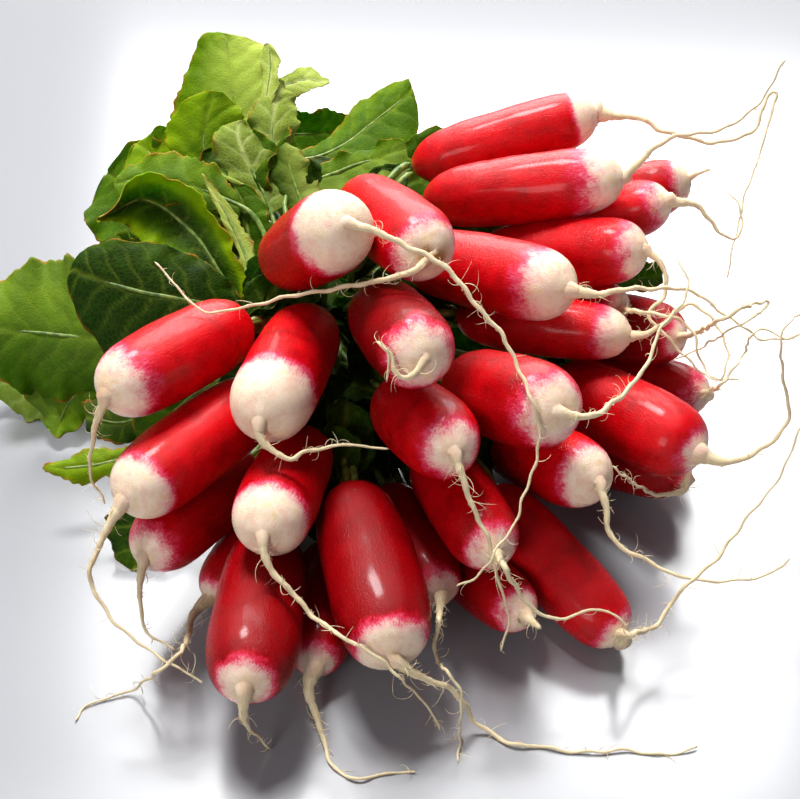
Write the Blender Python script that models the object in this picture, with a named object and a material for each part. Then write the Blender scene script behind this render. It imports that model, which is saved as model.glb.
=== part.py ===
"""Bunch of French breakfast radishes lying on its side, leaves to the back.

Layout frame: X right, Y up the face of the bunch, Z out of the face, millimetres.
A layout point (u, v, z) is given as it is lined up from the sight point EYE mm in
front of the face, so its true X and Y grow with the distance from that point.
The face looks up from the table by FACE_TILT degrees.
"""
import math

import bpy
import numpy as np

MM = 0.001
EYE = 400.0
FACE_TILT = math.radians(35.0)
TABLE = -44.0          # height of the table under the middle of the face
BODY_GAP = 1.0         # free space kept between two radishes
TAIL_GAP = 0.5         # free space kept between a tail and anything else
CROWN_TAPER = 0.88     # girth near the crown over girth near the tip
BODY_SIDES = 10
TAIL_SIDES = 5
TAIL_STEP = 4.5        # length of one tail segment
TAIL_BASE_R = 1.25     # tail where it leaves the body
TAIL_END_R = 0.32      # tail at its thin end
STALK_R = 1.3          # leaf stalk half width in the tie
BLADE_T = 0.45         # half thickness of a leaf blade at the midrib
SLOT_PITCH = 3.2       # spacing of the stalks inside the tie
TIE_BAND_R = 1.5
TIE = np.array([-36.0, 39.0, -38.0])
TIE_AXIS = np.array([0.57, -0.62, 0.54])

# radish: centre of the blunt tip (u, v, z), centre of the crown end (u, v, z), radius
RADISHES = {
    "radish_01": ((54, 91, -45), (14, 79, -52), 11.0),
    "radish_02": ((61.5, 71, -22), (19, 63, -34), 11.8),
    "radish_03": ((85, 69, -50), (57, 58, -70), 11.4),
    "radish_04": ((78.5, 63, -40), (47, 55, -60), 10.8),
    "radish_05": ((69.5, 49, -14), (36, 52, -34), 11.8),
    "radish_06": ((45, 38, 10), (11, 45, -15), 12.4),
    "radish_07": ((65.5, 22, -4), (29, 27, -16), 9.9),
    "radish_08": ((82.5, 22, -32), (58, 26, -58), 12.3),
    "radish_09": ((68, 31.5, -24), (50, 37, -44), 7.4),
    "radish_10": ((91.5, 3, -35), (65, 9, -56), 10.6),
    "radish_11": ((86.5, -12, 2), (59, 1.5, -18), 13.4),
    "radish_12": ((85, -23, -12), (62, -18, -34), 10.4),
    "radish_13": ((44, -2, 49), (26, 2.5, 18), 13.4),
    "radish_14": ((57, -24, 26), (37, -17, -2), 11.6),
    "radish_15": ((4.5, 17.5, 58), (-5, 28, 26), 12.0),
    "radish_16": ((13.5, -13.5, 52), (2, -3.5, 18), 12.0),
    "radish_17": ((27, -44, 34), (10, -23, 4), 11.3),
    "radish_18": ((63.5, -69.5, 42), (33, -43, 20), 11.1),
    "radish_19": ((-5.5, -72, 56), (-15, -38, 32), 13.5),
    "radish_20": ((10.5, -57.5, 24), (0, -31, 2), 9.5),
    "radish_21": ((36, -65.5, 38), (23, -48, 12), 9.5),
    "radish_22": ((-49, -84, 52), (-41, -49, 22), 12.7),
    "radish_23": ((-27, -79.5, 44), (-26, -56, 18), 9.9),
    "radish_24": ((-41.5, -38, 44), (-30, -16, 14), 11.7),
    "radish_25": ((-42, 0, 46), (-31, 21, 16), 12.4),
    "radish_26": ((-86, 7, 50), (-60, 21, 26), 12.0),
    "radish_27": ((-81, -26, 50), (-52, -4, 24), 12.0),
    "radish_28": ((-76.5, -44.5, 36), (-55, -29, 8), 11.3),
    "radish_29": ((-56.5, -58, 32), (-45, -39.5, 4), 9.4),
    "radish_30": ((-22, 55, 46), (-35, 47, 12), 12.4),
    "radish_31": ((5.5, 51, 42), (-9, 62, 10), 12.0),
}

# tail: depth of its free end, then its route (u, v) from the tip of the body
TAILS = {
    "radish_01": (-30, [(66, 91), (72, 91), (79, 91), (85, 88), (92, 86), (100, 84), (110, 85),
                        (116, 88), (118, 93), (121, 100), (123, 101), (123, 98), (121, 92),
                        (118, 81), (114, 70), (111, 59), (107, 40)]),
    "radish_02": (5, [(73, 76), (79, 80), (85, 85), (90, 87), (98, 87.5), (105, 89), (112, 92),
                      (118, 98), (122, 104), (126, 111)]),
    "radish_04": (-32, [(88, 64.5), (92, 64), (98, 63), (102, 58), (105, 54), (110, 53),
                        (112, 56), (112, 60), (110, 65), (107, 68)]),
    "radish_05": (2, [(82, 47), (87, 43), (88, 38), (87, 33.5), (83.5, 30), (82, 26), (87, 21),
                      (93, 14.5), (100, 8), (111, 6)]),
    "radish_06": (22, [(58, 35), (65.5, 34), (74, 35.5), (82, 36), (90, 36.5), (98, 34),
                       (105, 29), (112, 24), (117, 20), (124, 20), (131, 21)]),
    "radish_07": (12, [(75, 22), (80, 22), (84, 24), (89, 27), (93, 31), (98, 30), (103, 26),
                       (106, 19.5), (107, 13), (105, 6)]),
    "radish_08": (-10, [(94, 24), (100, 25), (112, 31), (121, 33.5), (118, 29), (110, 24),
                        (98, 17), (90, 13)]),
    "radish_09": (-4, [(76, 28), (82, 27), (88, 27), (94, 24), (97, 21), (98, 15), (100, 9),
                       (104, 6)]),
    "radish_10": (-14, [(99, -1), (105, 4), (110, 11), (115, 20), (118, 23), (126, 20),
                        (131, 21)]),
    "radish_11": (20, [(101, -19), (106, -21), (113, -20.5), (121, -15.5), (127, -8), (128, -3),
                       (127, 1.5), (125, 10), (125, 19.5), (128, 26), (131, 28.5)]),
    "radish_12": (16, [(95, -26), (93.5, -30), (85, -31.5), (77.5, -28), (70, -22)]),
    "radish_13": (40, [(57, -3.5), (60.5, -5), (66, -5), (70, -2), (77.5, 6), (82, 12),
                       (84, 20.5), (88, 26), (92, 31), (94.5, 37.5), (93, 42), (91, 46)]),
    "radish_14": (46, [(67, -30), (69, -38), (69, -44), (72, -49), (78.5, -51.5), (85, -55),
                       (90, -58), (98, -59), (106, -59.5), (119, -58), (127.5, -52)]),
    "radish_15": (70, [(8, 11), (5, 7), (1, 6), (-2, 9), (-3, 15), (-8, 18), (-7.5, 19),
                       (-4, 15.5), (-4, 6)]),
    "radish_16": (60, [(18, -22), (21, -30), (24.5, -38), (28, -45), (29.5, -50), (31, -55),
                       (33, -61), (35, -69.5), (35, -76), (33, -82)]),
    "radish_17": (54, [(34.5, -52.5), (37.5, -58), (40, -64), (44, -69), (49, -71), (54.5, -72),
                       (59.5, -70), (65.5, -69), (70, -70.5), (75, -74)]),
    "radish_18": (46, [(76, -76), (82.5, -74.5), (87.5, -71), (90.5, -65.5), (95.5, -59),
                       (104, -52.5), (108, -46), (116, -36), (123, -27), (127, -20),
                       (131, -8)]),
    "radish_19": (20, [(2, -89), (7, -92.5), (14, -95), (20, -98), (23.5, -103), (25, -105.5),
                       (31, -110), (37, -113.5), (46, -113.5), (56, -115), (65.5, -115.5),
                       (74, -115), (87, -116), (97, -114)]),
    "radish_20": (34, [(11, -68), (10.5, -78), (10, -82), (13, -88.5), (18, -94), (20, -99),
                       (19.5, -109), (18.5, -118.5)]),
    "radish_22": (56, [(-52, -98.5), (-52, -104), (-51, -108), (-46, -112), (-43, -115)]),
    "radish_23": (60, [(-31, -91), (-32, -96.5), (-29, -104), (-26, -112), (-23, -119.5),
                       (-16, -124.5), (-10, -124), (-2, -122), (5, -122)]),
    "radish_24": (62, [(-47.5, -47), (-46, -53), (-41, -60), (-34, -65.5), (-29.5, -71),
                       (-23, -75.5), (-15, -80), (-6.5, -85.5), (-1, -90), (2, -93.5),
                       (7, -98), (12, -105.5), (13, -108)]),
    "radish_25": (56, [(-48.5, -8), (-47.5, -13), (-42.5, -17), (-37, -20), (-31, -17),
                       (-23, -15.5), (-16, -15), (-11, -15.5), (-4, -16)]),
    "radish_26": (40, [(-94, -2), (-97.5, -8), (-100, -15.5), (-101, -24), (-99, -29.5),
                       (-96.5, -34.5)]),
    "radish_27": (64, [(-95, -36), (-100, -46.5), (-103, -56), (-102.5, -60.5), (-98, -68),
                       (-93, -74), (-85, -80.5), (-73.5, -87.5), (-65, -93)]),
    "radish_28": (52, [(-85, -56), (-86, -64.5), (-85, -72), (-83.5, -77), (-79.5, -79.5),
                       (-74, -82.5)]),
    "radish_29": (48, [(-65.5, -65), (-70, -70.5), (-72, -80.5), (-78, -87.5), (-88.5, -95),
                       (-98, -98.5), (-105, -101.5), (-106.5, -105)]),
    "radish_30": (62, [(-18, 59), (-6.5, 55), (1.5, 51), (11.5, 45.5), (19.5, 38.5),
                       (26, 30), (32.5, 22), (37.5, 13), (41, 6), (44, -3.5), (45.5, -11.5),
                       (44.5, -21.5), (41.5, -28.5), (39, -35), (37.5, -41), (32.5, -48),
                       (29.5, -53), (24.5, -58), (18.5, -61)]),
    "radish_31": (36, [(9, 43), (2.5, 39), (-6.5, 37.5), (-19.5, 35.5), (-31, 34), (-42.5, 32),
                       (-52, 29.5), (-60.5, 28.5), (-65.5, 29.5), (-72, 35), (-76, 41),
                       (-80, 44.5)]),
}
TOP_TAIL = "radish_30"  # the long tail that lies over all the others
STUB_TAIL = 9.0         # tail left on a radish whose root broke off short

# leaf: base of the blade (u, v, z), tip (u, v, z), width, how far the middle arches out
LEAVES = {
    "leaf_01": ((-50, 70, -94), (-52, 120, -98), 30, 6),
    "leaf_02": ((-58, 74, -76), (-70, 102, -68), 24, 3),
    "leaf_03": ((-46, 64, -84), (-54, 92, -82), 18, 3),
    "leaf_04": ((-40, 77, -112), (-42, 117, -112), 9, 3),
    "leaf_05": ((-32, 78, -96), (-24, 105, -100), 13, 3),
    "leaf_06": ((-30, 72, -126), (-16, 99, -132), 24, 5),
    "leaf_07": ((-18, 66, -80), (4, 106, -84), 28, 6),
    "leaf_08": ((-22, 60, -64), (2, 80, -56), 15, 4),
    "leaf_09": ((-6, 66, -76), (15, 86, -72), 13, 3),
    "leaf_10": ((-54, 53, -48), (-93, 72, -36), 20, 5),
    "leaf_11": ((-58, 44, -38), (-98, 59, -22), 28, 6),
    "leaf_12": ((-66, 29, -26), (-108, 42, -4), 30, 6),
    "leaf_13": ((-80, 18, -52), (-142, 22, -38), 38, 8),
    "leaf_14": ((-84, 9, -66), (-134, 0, -50), 21, 5),
    "leaf_15": ((-86, -10, -6), (-117, -23, 6), 14, 3),
    "leaf_16": ((-72, -27, -8), (-98, -55, 20), 15, 3),
    "leaf_17": ((-60, 50, -98), (-96, 74, -112), 32, 8),
    "leaf_18": ((-52, 53, -138), (-68, 84, -158), 32, 8),
    "leaf_19": ((-14, 52, -108), (12, 78, -128), 30, 8),
    "leaf_20": ((-62, 34, -90), (-100, 36, -108), 30, 7),
    "leaf_21": ((-26, 40, -112), (-4, 50, -134), 28, 6),
    "leaf_22": ((-38, 34, -112), (-46, 46, -142), 26, 5),
}

# small leaves that come straight off a crown and miss the tie: where they start
LOOSE = {
    "leaf_15": (-66, -3, -8),
    "leaf_16": (-60, -16, -18),
}


def clear_scene():
    for obj in list(bpy.data.objects):
        bpy.data.objects.remove(obj, do_unlink=True)


def sight(u, v, z):
    """Layout point to true layout-frame millimetres."""
    grow = (EYE - z) / EYE
    return np.array([u * grow, v * grow, float(z)])


def height(point):
    """Height over the middle of the face, along the true vertical."""
    return point[1] * math.cos(FACE_TILT) + point[2] * math.sin(FACE_TILT)


def upright(points):
    """Layout-frame points to points standing on the table, +Z up."""
    cos_t = math.cos(FACE_TILT)
    sin_t = math.sin(FACE_TILT)
    points = np.asarray(points, dtype=float)
    return np.stack([points[:, 0],
                     points[:, 1] * sin_t - points[:, 2] * cos_t,
                     points[:, 1] * cos_t + points[:, 2] * sin_t], axis=1)


def closest(p0, p1, q0, q1):
    """Closest points of two segments: fractions along each, and the vector between."""
    d1 = p1 - p0
    d2 = q1 - q0
    r = p0 - q0
    a = d1 @ d1
    e = d2 @ d2
    b = d1 @ d2
    c = d1 @ r
    f = d2 @ r
    det = a * e - b * b
    s = 0.5
    if det > 1e-9:
        s = min(1.0, max(0.0, (b * f - c * e) / det))
    t = (b * s + f) / e
    if t < 0.0 or t > 1.0:
        t = min(1.0, max(0.0, t))
        s = min(1.0, max(0.0, (b * t - c) / a))
    return s, t, (p0 + d1 * s) - (q0 + d2 * t)


def settle():
    """Push the radishes apart until none touch, keeping each one lined up."""
    names = list(RADISHES)
    tips = [sight(*RADISHES[n][0]) for n in names]
    crowns = [sight(*RADISHES[n][1]) for n in names]
    radii = [RADISHES[n][2] for n in names]
    rays = [(p - np.array([0.0, 0.0, EYE])) for p in tips]
    rays = [r / np.linalg.norm(r) for r in rays]
    homes = [(p.copy(), q.copy()) for p, q in zip(tips, crowns)]
    lengths = [min(46.0, max(30.0, np.linalg.norm(p - q))) for p, q in homes]
    steps = 420
    for step in range(steps):
        loose = step < steps - 120
        for i in range(len(names)):
            if loose:
                off = tips[i] - homes[i][0]
                off = off - rays[i] * (off @ rays[i])
                tips[i] = tips[i] - 0.30 * off
                crowns[i] = crowns[i] + 0.03 * (homes[i][1] - crowns[i])
            line = crowns[i] - tips[i]
            span = np.linalg.norm(line)
            crowns[i] = crowns[i] + line / span * (lengths[i] - span)
        for i in range(len(names)):
            for j in range(i + 1, len(names)):
                s, t, gap = closest(tips[i], crowns[i], tips[j], crowns[j])
                need = BODY_GAP + radii[i] * (1 - s + s * CROWN_TAPER)
                need += radii[j] * (1 - t + t * CROWN_TAPER)
                dist = np.linalg.norm(gap)
                if dist < need:
                    push = gap / max(dist, 1e-6) * (need - dist) * 0.5
                    tips[i] = tips[i] + push * (1.2 - s)
                    crowns[i] = crowns[i] + push * (0.2 + s)
                    tips[j] = tips[j] - push * (1.2 - t)
                    crowns[j] = crowns[j] - push * (0.2 + t)
        for i in range(len(names)):
            for ends, size in ((tips, radii[i]), (crowns, radii[i] * CROWN_TAPER)):
                lift = TABLE + size + 0.1 - height(ends[i])
                if lift > 0.0:
                    up = np.array([0.0, math.cos(FACE_TILT), math.sin(FACE_TILT)])
                    ends[i] = ends[i] + up * lift
    return {n: (tips[i], crowns[i], radii[i]) for i, n in enumerate(names)}


def front_of(point_uv, bars, start=112.0):
    """Depth at which a point on this line of sight first meets one of the bars."""
    if not bars:
        return -999.0
    ends0 = np.array([b[0] for b in bars])
    ends1 = np.array([b[1] for b in bars])
    reach = np.array([b[2] for b in bars])
    span = ends1 - ends0
    size = (span * span).sum(axis=1)
    z = start
    while z > -130.0:
        spot = sight(point_uv[0], point_uv[1], z)
        t = ((spot - ends0) * span).sum(axis=1) / size
        t = np.clip(t, 0.0, 1.0)
        away = np.linalg.norm(spot - ends0 - span * t[:, None], axis=1) - reach
        near = away.min()
        if near < 0.0:
            return z + 1.0
        z -= max(0.8, near)
    return -999.0


def table_depth(u, v, radius):
    """Smallest depth at which a point on this line of sight clears the table."""
    lo, hi = -150.0, 120.0
    for _ in range(40):
        mid = 0.5 * (lo + hi)
        if height(sight(u, v, mid)) > TABLE + radius + 0.15:
            hi = mid
        else:
            lo = mid
    return hi


def resample(route, step):
    """Smooth curve through the route points, cut into equal pieces."""
    pts = np.array(route, dtype=float)
    pad = np.vstack([2 * pts[0] - pts[1], pts, 2 * pts[-1] - pts[-2]])
    fine = []
    for i in range(1, len(pad) - 2):
        a, b, c, d = pad[i - 1], pad[i], pad[i + 1], pad[i + 2]
        for t in np.linspace(0.0, 1.0, 12, endpoint=False):
            fine.append(0.5 * (2 * b + (c - a) * t + (2 * a - 5 * b + 4 * c - d) * t * t
                               + (3 * b - a - 3 * c + d) * t ** 3))
    fine.append(pts[-1])
    fine = np.array(fine)
    run = np.concatenate([[0.0], np.cumsum(np.linalg.norm(np.diff(fine, axis=0), axis=1))])
    count = max(2, int(round(run[-1] / step)))
    marks = np.linspace(0.0, run[-1], count + 1)
    return np.stack([np.interp(marks, run, fine[:, k]) for k in range(fine.shape[1])], axis=1)


def tail_radius(fraction):
    return TAIL_END_R + (TAIL_BASE_R - TAIL_END_R) * (1.0 - fraction) ** 1.6


def other_side(share, k):
    """The first tail point does not look back to where it leaves the body."""
    return k == 0 and share < 0.0


def lay_tails(bodies):
    """Lay the tails one after another over the bodies, the table and earlier tails."""
    laid = {}
    strings = []
    order = [n for n in bodies if n != TOP_TAIL] + [TOP_TAIL]
    for name in order:
        tip, crown, radius = bodies[name]
        axis = (tip - crown) / np.linalg.norm(tip - crown)
        root = tip + axis * (radius * 0.97)
        if name not in TAILS:
            ends = [root + axis * STUB_TAIL * f for f in (0.35, 0.7, 1.0)]
            laid[name] = [p for p in ends if height(p) > TABLE + 1.0]
            continue
        end_z, route = TAILS[name]
        grow = EYE / (EYE - root[2])
        shift = np.array([root[0] * grow - route[0][0], root[1] * grow - route[0][1]])
        moved = [np.array(p) + shift * math.exp(-0.45 * k) for k, p in enumerate(route)]
        uv = resample(moved, TAIL_STEP)[1:]
        count = len(uv)
        free = np.linspace(root[2] + axis[2] * 2.0, end_z, count)
        need = np.full(count, -999.0)
        spots = np.vstack([[root[0] * grow, root[1] * grow], uv])
        for k in range(count):
            size = tail_radius((k + 1) / count)
            bars = [(p, q, r + size + TAIL_GAP + 0.3) for other, (p, q, r) in bodies.items()
                    if other != name or k > 0]
            bars += [(p, q, r + size + TAIL_GAP + 1.0) for p, q, r in strings]
            need[k] = table_depth(uv[k][0], uv[k][1], size)
            for share in (-0.7, -0.35, 0.0, 0.35, 0.7):
                mate = spots[min(count, max(0, k + 1 + (1 if share > 0 else -1)))]
                if other_side(share, k):
                    continue
                need[k] = max(need[k], front_of(uv[k] + (mate - uv[k]) * abs(share), bars))
        z = np.maximum(free, need)
        for _ in range(160):
            mid = z.copy()
            mid[1:-1] = 0.5 * (z[:-2] + z[2:])
            mid[0] = 0.5 * (z[1] + root[2])
            blend = 0.75 * mid + 0.25 * free
            z = np.maximum(blend, need)
        points = [sight(uv[k][0], uv[k][1], z[k]) for k in range(count)]
        laid[name] = points
        chain = [root] + points
        for k in range(len(chain) - 1):
            strings.append((chain[k], chain[k + 1], tail_radius((k + 0.5) / count)))
    return laid


def frame_along(direction, across):
    side = across - direction * (across @ direction)
    side = side / np.linalg.norm(side)
    return side, np.cross(direction, side)


def ring(center, side, other, size, count):
    angles = [2 * math.pi * k / count for k in range(count)]
    return [center + (side * math.cos(a) + other * math.sin(a)) * size for a in angles]


def radish_mesh(tip, crown, radius, tail):
    """One closed skin: crown, body, blunt tip and tapering tail."""
    axis = (tip - crown) / np.linalg.norm(tip - crown)
    side, other = frame_along(axis, np.array([0.3, 1.0, 0.2]))
    span = np.linalg.norm(tip - crown)
    back = radius * CROWN_TAPER
    length = back * 0.92 + span + radius * 0.97
    start = crown - axis * back * 0.92
    shape = [(0.035, 0.42), (0.11, 0.76), (0.24, 0.93), (0.46, 0.985), (0.68, 0.99),
             (0.83, 0.90), (0.92, 0.66), (0.972, 0.36)]
    verts = [start]
    faces = []
    rings = []
    for along, size in shape:
        taper = 1.0 if along > 0.5 else CROWN_TAPER + (1 - CROWN_TAPER) * along * 2
        rings.append(len(verts))
        verts += ring(start + axis * length * along, side, other, radius * size * taper,
                      BODY_SIDES)
    n = BODY_SIDES
    for k in range(n):
        faces.append((0, rings[0] + (k + 1) % n, rings[0] + k))
    for a, b in zip(rings[:-1], rings[1:]):
        for k in range(n):
            faces.append((a + k, a + (k + 1) % n, b + (k + 1) % n, b + k))
    chain = [start + axis * length] + list(tail)
    first = len(verts)
    m = TAIL_SIDES
    for i, p in enumerate(chain):
        ahead = chain[min(i + 1, len(chain) - 1)]
        behind = chain[i - 1] if i else p - axis
        run = (ahead - behind) / np.linalg.norm(ahead - behind)
        side = side - run * (side @ run)
        side = side / np.linalg.norm(side)
        verts += ring(p, side, np.cross(run, side), tail_radius(i / len(chain)), m)
    last = rings[-1]
    for k in range(m):
        a = last + (2 * k) % n
        b = last + (2 * k + 1) % n
        c = last + (2 * k + 2) % n
        d = first + k
        e = first + (k + 1) % m
        faces.append((a, b, d))
        faces.append((b, e, d))
        faces.append((b, c, e))
    for i in range(len(chain) - 1):
        a = first + i * m
        b = a + m
        for k in range(m):
            faces.append((a + k, a + (k + 1) % m, b + (k + 1) % m, b + k))
    verts.append(chain[-1] + run * 0.6)
    a = first + (len(chain) - 1) * m
    for k in range(m):
        faces.append((a + k, a + (k + 1) % m, len(verts) - 1))
    return verts, faces


def bezier(p0, p1, p2, p3, t):
    s = 1.0 - t
    return p0 * s ** 3 + p1 * 3 * s * s * t + p2 * 3 * s * t * t + p3 * t ** 3


def tie_slots():
    """Where each stalk goes through the tie: on its own leaf's side, none touching."""
    axis = TIE_AXIS / np.linalg.norm(TIE_AXIS)
    slots = {}
    for name in (n for n in LEAVES if n not in LOOSE):
        aim = sight(*LEAVES[name][0]) - TIE
        aim = aim / np.linalg.norm(aim)
        slots[name] = (aim - axis * (aim @ axis)) * SLOT_PITCH * 2.6
    names = list(slots)
    for _ in range(300):
        for i, a in enumerate(names):
            for b in names[i + 1:]:
                gap = slots[a] - slots[b]
                dist = np.linalg.norm(gap)
                if dist < SLOT_PITCH:
                    push = gap / max(dist, 1e-6) * (SLOT_PITCH - dist) * 0.5
                    slots[a] = slots[a] + push
                    slots[b] = slots[b] - push
    return slots


def leaf_paths():
    """The middle line of every leaf: through the tie, along the stalk, to the tip."""
    axis = TIE_AXIS / np.linalg.norm(TIE_AXIS)
    slots = tie_slots()
    paths = {}
    for name in LEAVES:
        base = sight(*LEAVES[name][0])
        tip = sight(*LEAVES[name][1])
        run = tip - base
        if name in LOOSE:
            spot = sight(*LOOSE[name])
            stem = base - spot
            paths[name] = (spot - stem * 0.1, spot, spot + stem * 0.3, base - run * 0.1,
                           base, tip)
            continue
        spot = TIE + slots[name]
        reach = max(34.0, np.linalg.norm(base - spot))
        paths[name] = (spot + axis * 14.0, spot, spot - axis * reach * 0.3 + slots[name],
                       base - run * 0.2, base, tip)
    return paths


def leaf_mesh(path, width, arch):
    """Stalk and blade as one closed skin with eight points round each section."""
    front, spot, pull, lead, base, tip = path
    run = tip - base
    toward = np.array([0.0, 0.0, EYE]) - base
    lift = toward - run * (toward @ run) / (run @ run)
    lift = lift / np.linalg.norm(lift)
    stations = []
    stations.append((front, STALK_R, STALK_R))
    stations.append((spot + (front - spot) * 0.1, STALK_R, STALK_R))
    for t in (0.12, 0.3, 0.55, 0.8):
        stations.append((bezier(spot, pull, lead, base, t), STALK_R, STALK_R * 0.9))
    outline = [(0.0, 0.07), (0.14, 0.20), (0.32, 0.34), (0.52, 0.46), (0.70, 0.50),
               (0.85, 0.40), (0.95, 0.22)]
    for along, half in outline:
        bulge = lift * arch * math.sin(math.pi * along)
        stations.append((base + run * along + bulge, max(STALK_R, width * half), BLADE_T))
    end = tip + lift * 0.3
    verts = [front - (spot - front) * 0.05]
    faces = []
    for i, (p, half, thick) in enumerate(stations):
        ahead = stations[min(i + 1, len(stations) - 1)][0]
        behind = stations[max(i - 1, 0)][0]
        line = (ahead - behind) / np.linalg.norm(ahead - behind)
        across, up = frame_along(line, np.cross(lift, line))
        cup = 0.0 if thick > BLADE_T else 0.22 * half
        for x, y in ((-1, 0), (-0.55, -1), (0, -1), (0.55, -1), (1, 0), (0.55, 1), (0, 1),
                     (-0.55, 1)):
            edge = abs(x)
            body = thick * (1.0 if edge < 1.0 else 0.0) * (1.0 if edge < 0.3 else 0.85)
            verts.append(p + across * half * x + up * (y * body + cup * edge * edge))
    n = 8
    for k in range(n):
        faces.append((0, 1 + (k + 1) % n, 1 + k))
    for i in range(len(stations) - 1):
        a = 1 + i * n
        b = a + n
        for k in range(n):
            faces.append((a + k, a + (k + 1) % n, b + (k + 1) % n, b + k))
    a = 1 + (len(stations) - 1) * n
    verts.append(end)
    for k in range(n):
        faces.append((a + k, a + (k + 1) % n, len(verts) - 1))
    return verts, faces


def tie_mesh():
    """The band round the stalks: a plain closed ring."""
    axis = TIE_AXIS / np.linalg.norm(TIE_AXIS)
    side, other = frame_along(axis, np.array([0.0, 0.0, 1.0]))
    inner = max(np.linalg.norm(p) for p in tie_slots().values()) + STALK_R * 1.25 + 1.6
    around = 24
    sides = 6
    verts = []
    faces = []
    for i in range(around):
        a = 2 * math.pi * i / around
        out = side * math.cos(a) + other * math.sin(a)
        center = TIE + out * (inner + TIE_BAND_R)
        for k in range(sides):
            b = 2 * math.pi * k / sides
            verts.append(center + (out * math.cos(b) + axis * math.sin(b)) * TIE_BAND_R)
    for i in range(around):
        for k in range(sides):
            a = i * sides
            b = ((i + 1) % around) * sides
            faces.append((a + k, b + k, b + (k + 1) % sides, a + (k + 1) % sides))
    return verts, faces


def material(name, color, rough):
    mat = bpy.data.materials.new(name)
    mat.use_nodes = True
    shader = mat.node_tree.nodes["Principled BSDF"]
    shader.inputs["Base Color"].default_value = (*color, 1.0)
    shader.inputs["Roughness"].default_value = rough
    shader.inputs["Metallic"].default_value = 0.0
    mat.diffuse_color = (*color, 1.0)
    return mat


def add_object(name, verts, faces, mat, smooth):
    mesh = bpy.data.meshes.new(name)
    mesh.from_pydata([tuple(v) for v in verts], [], faces)
    mesh.materials.append(mat)
    for poly in mesh.polygons:
        poly.use_smooth = smooth
    mesh.update()
    obj = bpy.data.objects.new(name, mesh)
    bpy.context.scene.collection.objects.link(obj)
    return obj


def build():
    clear_scene()
    bodies = settle()
    tails = lay_tails(bodies)
    pieces = {}
    for name, (tip, crown, radius) in bodies.items():
        pieces[name] = radish_mesh(tip, crown, radius, tails[name])
    for name, path in leaf_paths().items():
        _, _, width, arch = LEAVES[name]
        pieces[name] = leaf_mesh(path, width, arch)
    pieces["tie"] = tie_mesh()
    stood = {n: (upright(v), f) for n, (v, f) in pieces.items()}
    everything = np.vstack([v for v, _ in stood.values()])
    low = everything.min(axis=0)
    high = everything.max(axis=0)
    origin = np.array([(low[0] + high[0]) / 2, (low[1] + high[1]) / 2, low[2]])
    looks = {
        "radish": material("radish_red", (0.62, 0.006, 0.02), 0.32),
        "leaf": material("leaf_green", (0.12, 0.22, 0.02), 0.5),
        "tie": material("tie_band", (0.10, 0.16, 0.30), 0.6),
    }
    for name in sorted(stood):
        verts, faces = stood[name]
        kind = name.split("_")[0]
        add_object(name, (verts - origin) * MM, faces, looks[kind], True)


build()
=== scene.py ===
# %% [markdown]
# # A bunch of French breakfast radishes
# The bunch lies on its side on a white table. Thirty-one slender radishes point towards us, each with a
# long thread of a root, and the leaves stand behind them. The solid model already holds the place and
# size of every radish and leaf. This lesson reads those places back and grows the fine surfaces on them:
# wet skin, root threads with side roots, and leaves with veins and toothed edges.

# %% Load the solid model
import math
import random

import bmesh
import bpy
import numpy as np
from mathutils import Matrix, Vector


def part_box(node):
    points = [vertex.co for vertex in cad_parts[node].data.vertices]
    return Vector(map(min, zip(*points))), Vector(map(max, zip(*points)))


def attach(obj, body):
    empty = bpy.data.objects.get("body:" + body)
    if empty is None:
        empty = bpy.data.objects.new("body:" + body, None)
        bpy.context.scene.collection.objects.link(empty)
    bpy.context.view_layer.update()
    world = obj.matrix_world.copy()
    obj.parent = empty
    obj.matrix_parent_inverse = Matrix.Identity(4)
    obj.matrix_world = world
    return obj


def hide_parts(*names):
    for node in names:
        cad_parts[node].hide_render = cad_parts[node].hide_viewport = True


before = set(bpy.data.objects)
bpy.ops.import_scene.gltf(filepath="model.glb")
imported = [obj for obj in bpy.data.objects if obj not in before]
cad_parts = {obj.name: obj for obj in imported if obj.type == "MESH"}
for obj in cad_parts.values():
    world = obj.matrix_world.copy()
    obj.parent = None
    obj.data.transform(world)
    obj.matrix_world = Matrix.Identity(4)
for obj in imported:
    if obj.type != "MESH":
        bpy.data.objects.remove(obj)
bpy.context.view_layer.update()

# %% [markdown]
# ## One sight frame
# The bunch was laid out as it is lined up from a point 400 mm in front of its face, and the face looks
# up from the table by 35 degrees. The band round the stalks sits at a known place in that layout, so its
# box tells us where the middle of the face is. `sight` turns a lined-up place (across, up, out, in mm)
# into a point in metres, and the camera will stand at the sight point itself.

# %% Find the middle of the face
MM = 0.001
EYE = 400.0
TILT = math.radians(35.0)
band_low, band_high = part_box("tie")
BAND = np.array((band_low + band_high) / 2)
FACE = BAND - np.array([-36.0, 53.50, 10.15]) * MM
OUT = np.array([0.0, -math.cos(TILT), math.sin(TILT)])
UP = np.array([0.0, math.sin(TILT), math.cos(TILT)])


def sight(u, v, z):
    grow = (EYE - z) / EYE
    return FACE + (np.array([u * grow, 0.0, 0.0]) + UP * (v * grow) + OUT * z) * MM


print("middle of the face, mm above the table:", round(FACE[2] * 1000, 1))

# %% [markdown]
# ## Reading a grown piece back
# Each radish and each leaf of the solid model is a stack of rings between two end points. Its mesh is
# loose triangles, so a copy is merged first. Walking outwards from the end point with the most edges
# visits exactly one ring at each step, which gives the middle line and the girth of the piece.

# %% Walk the rings of a solid


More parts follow.
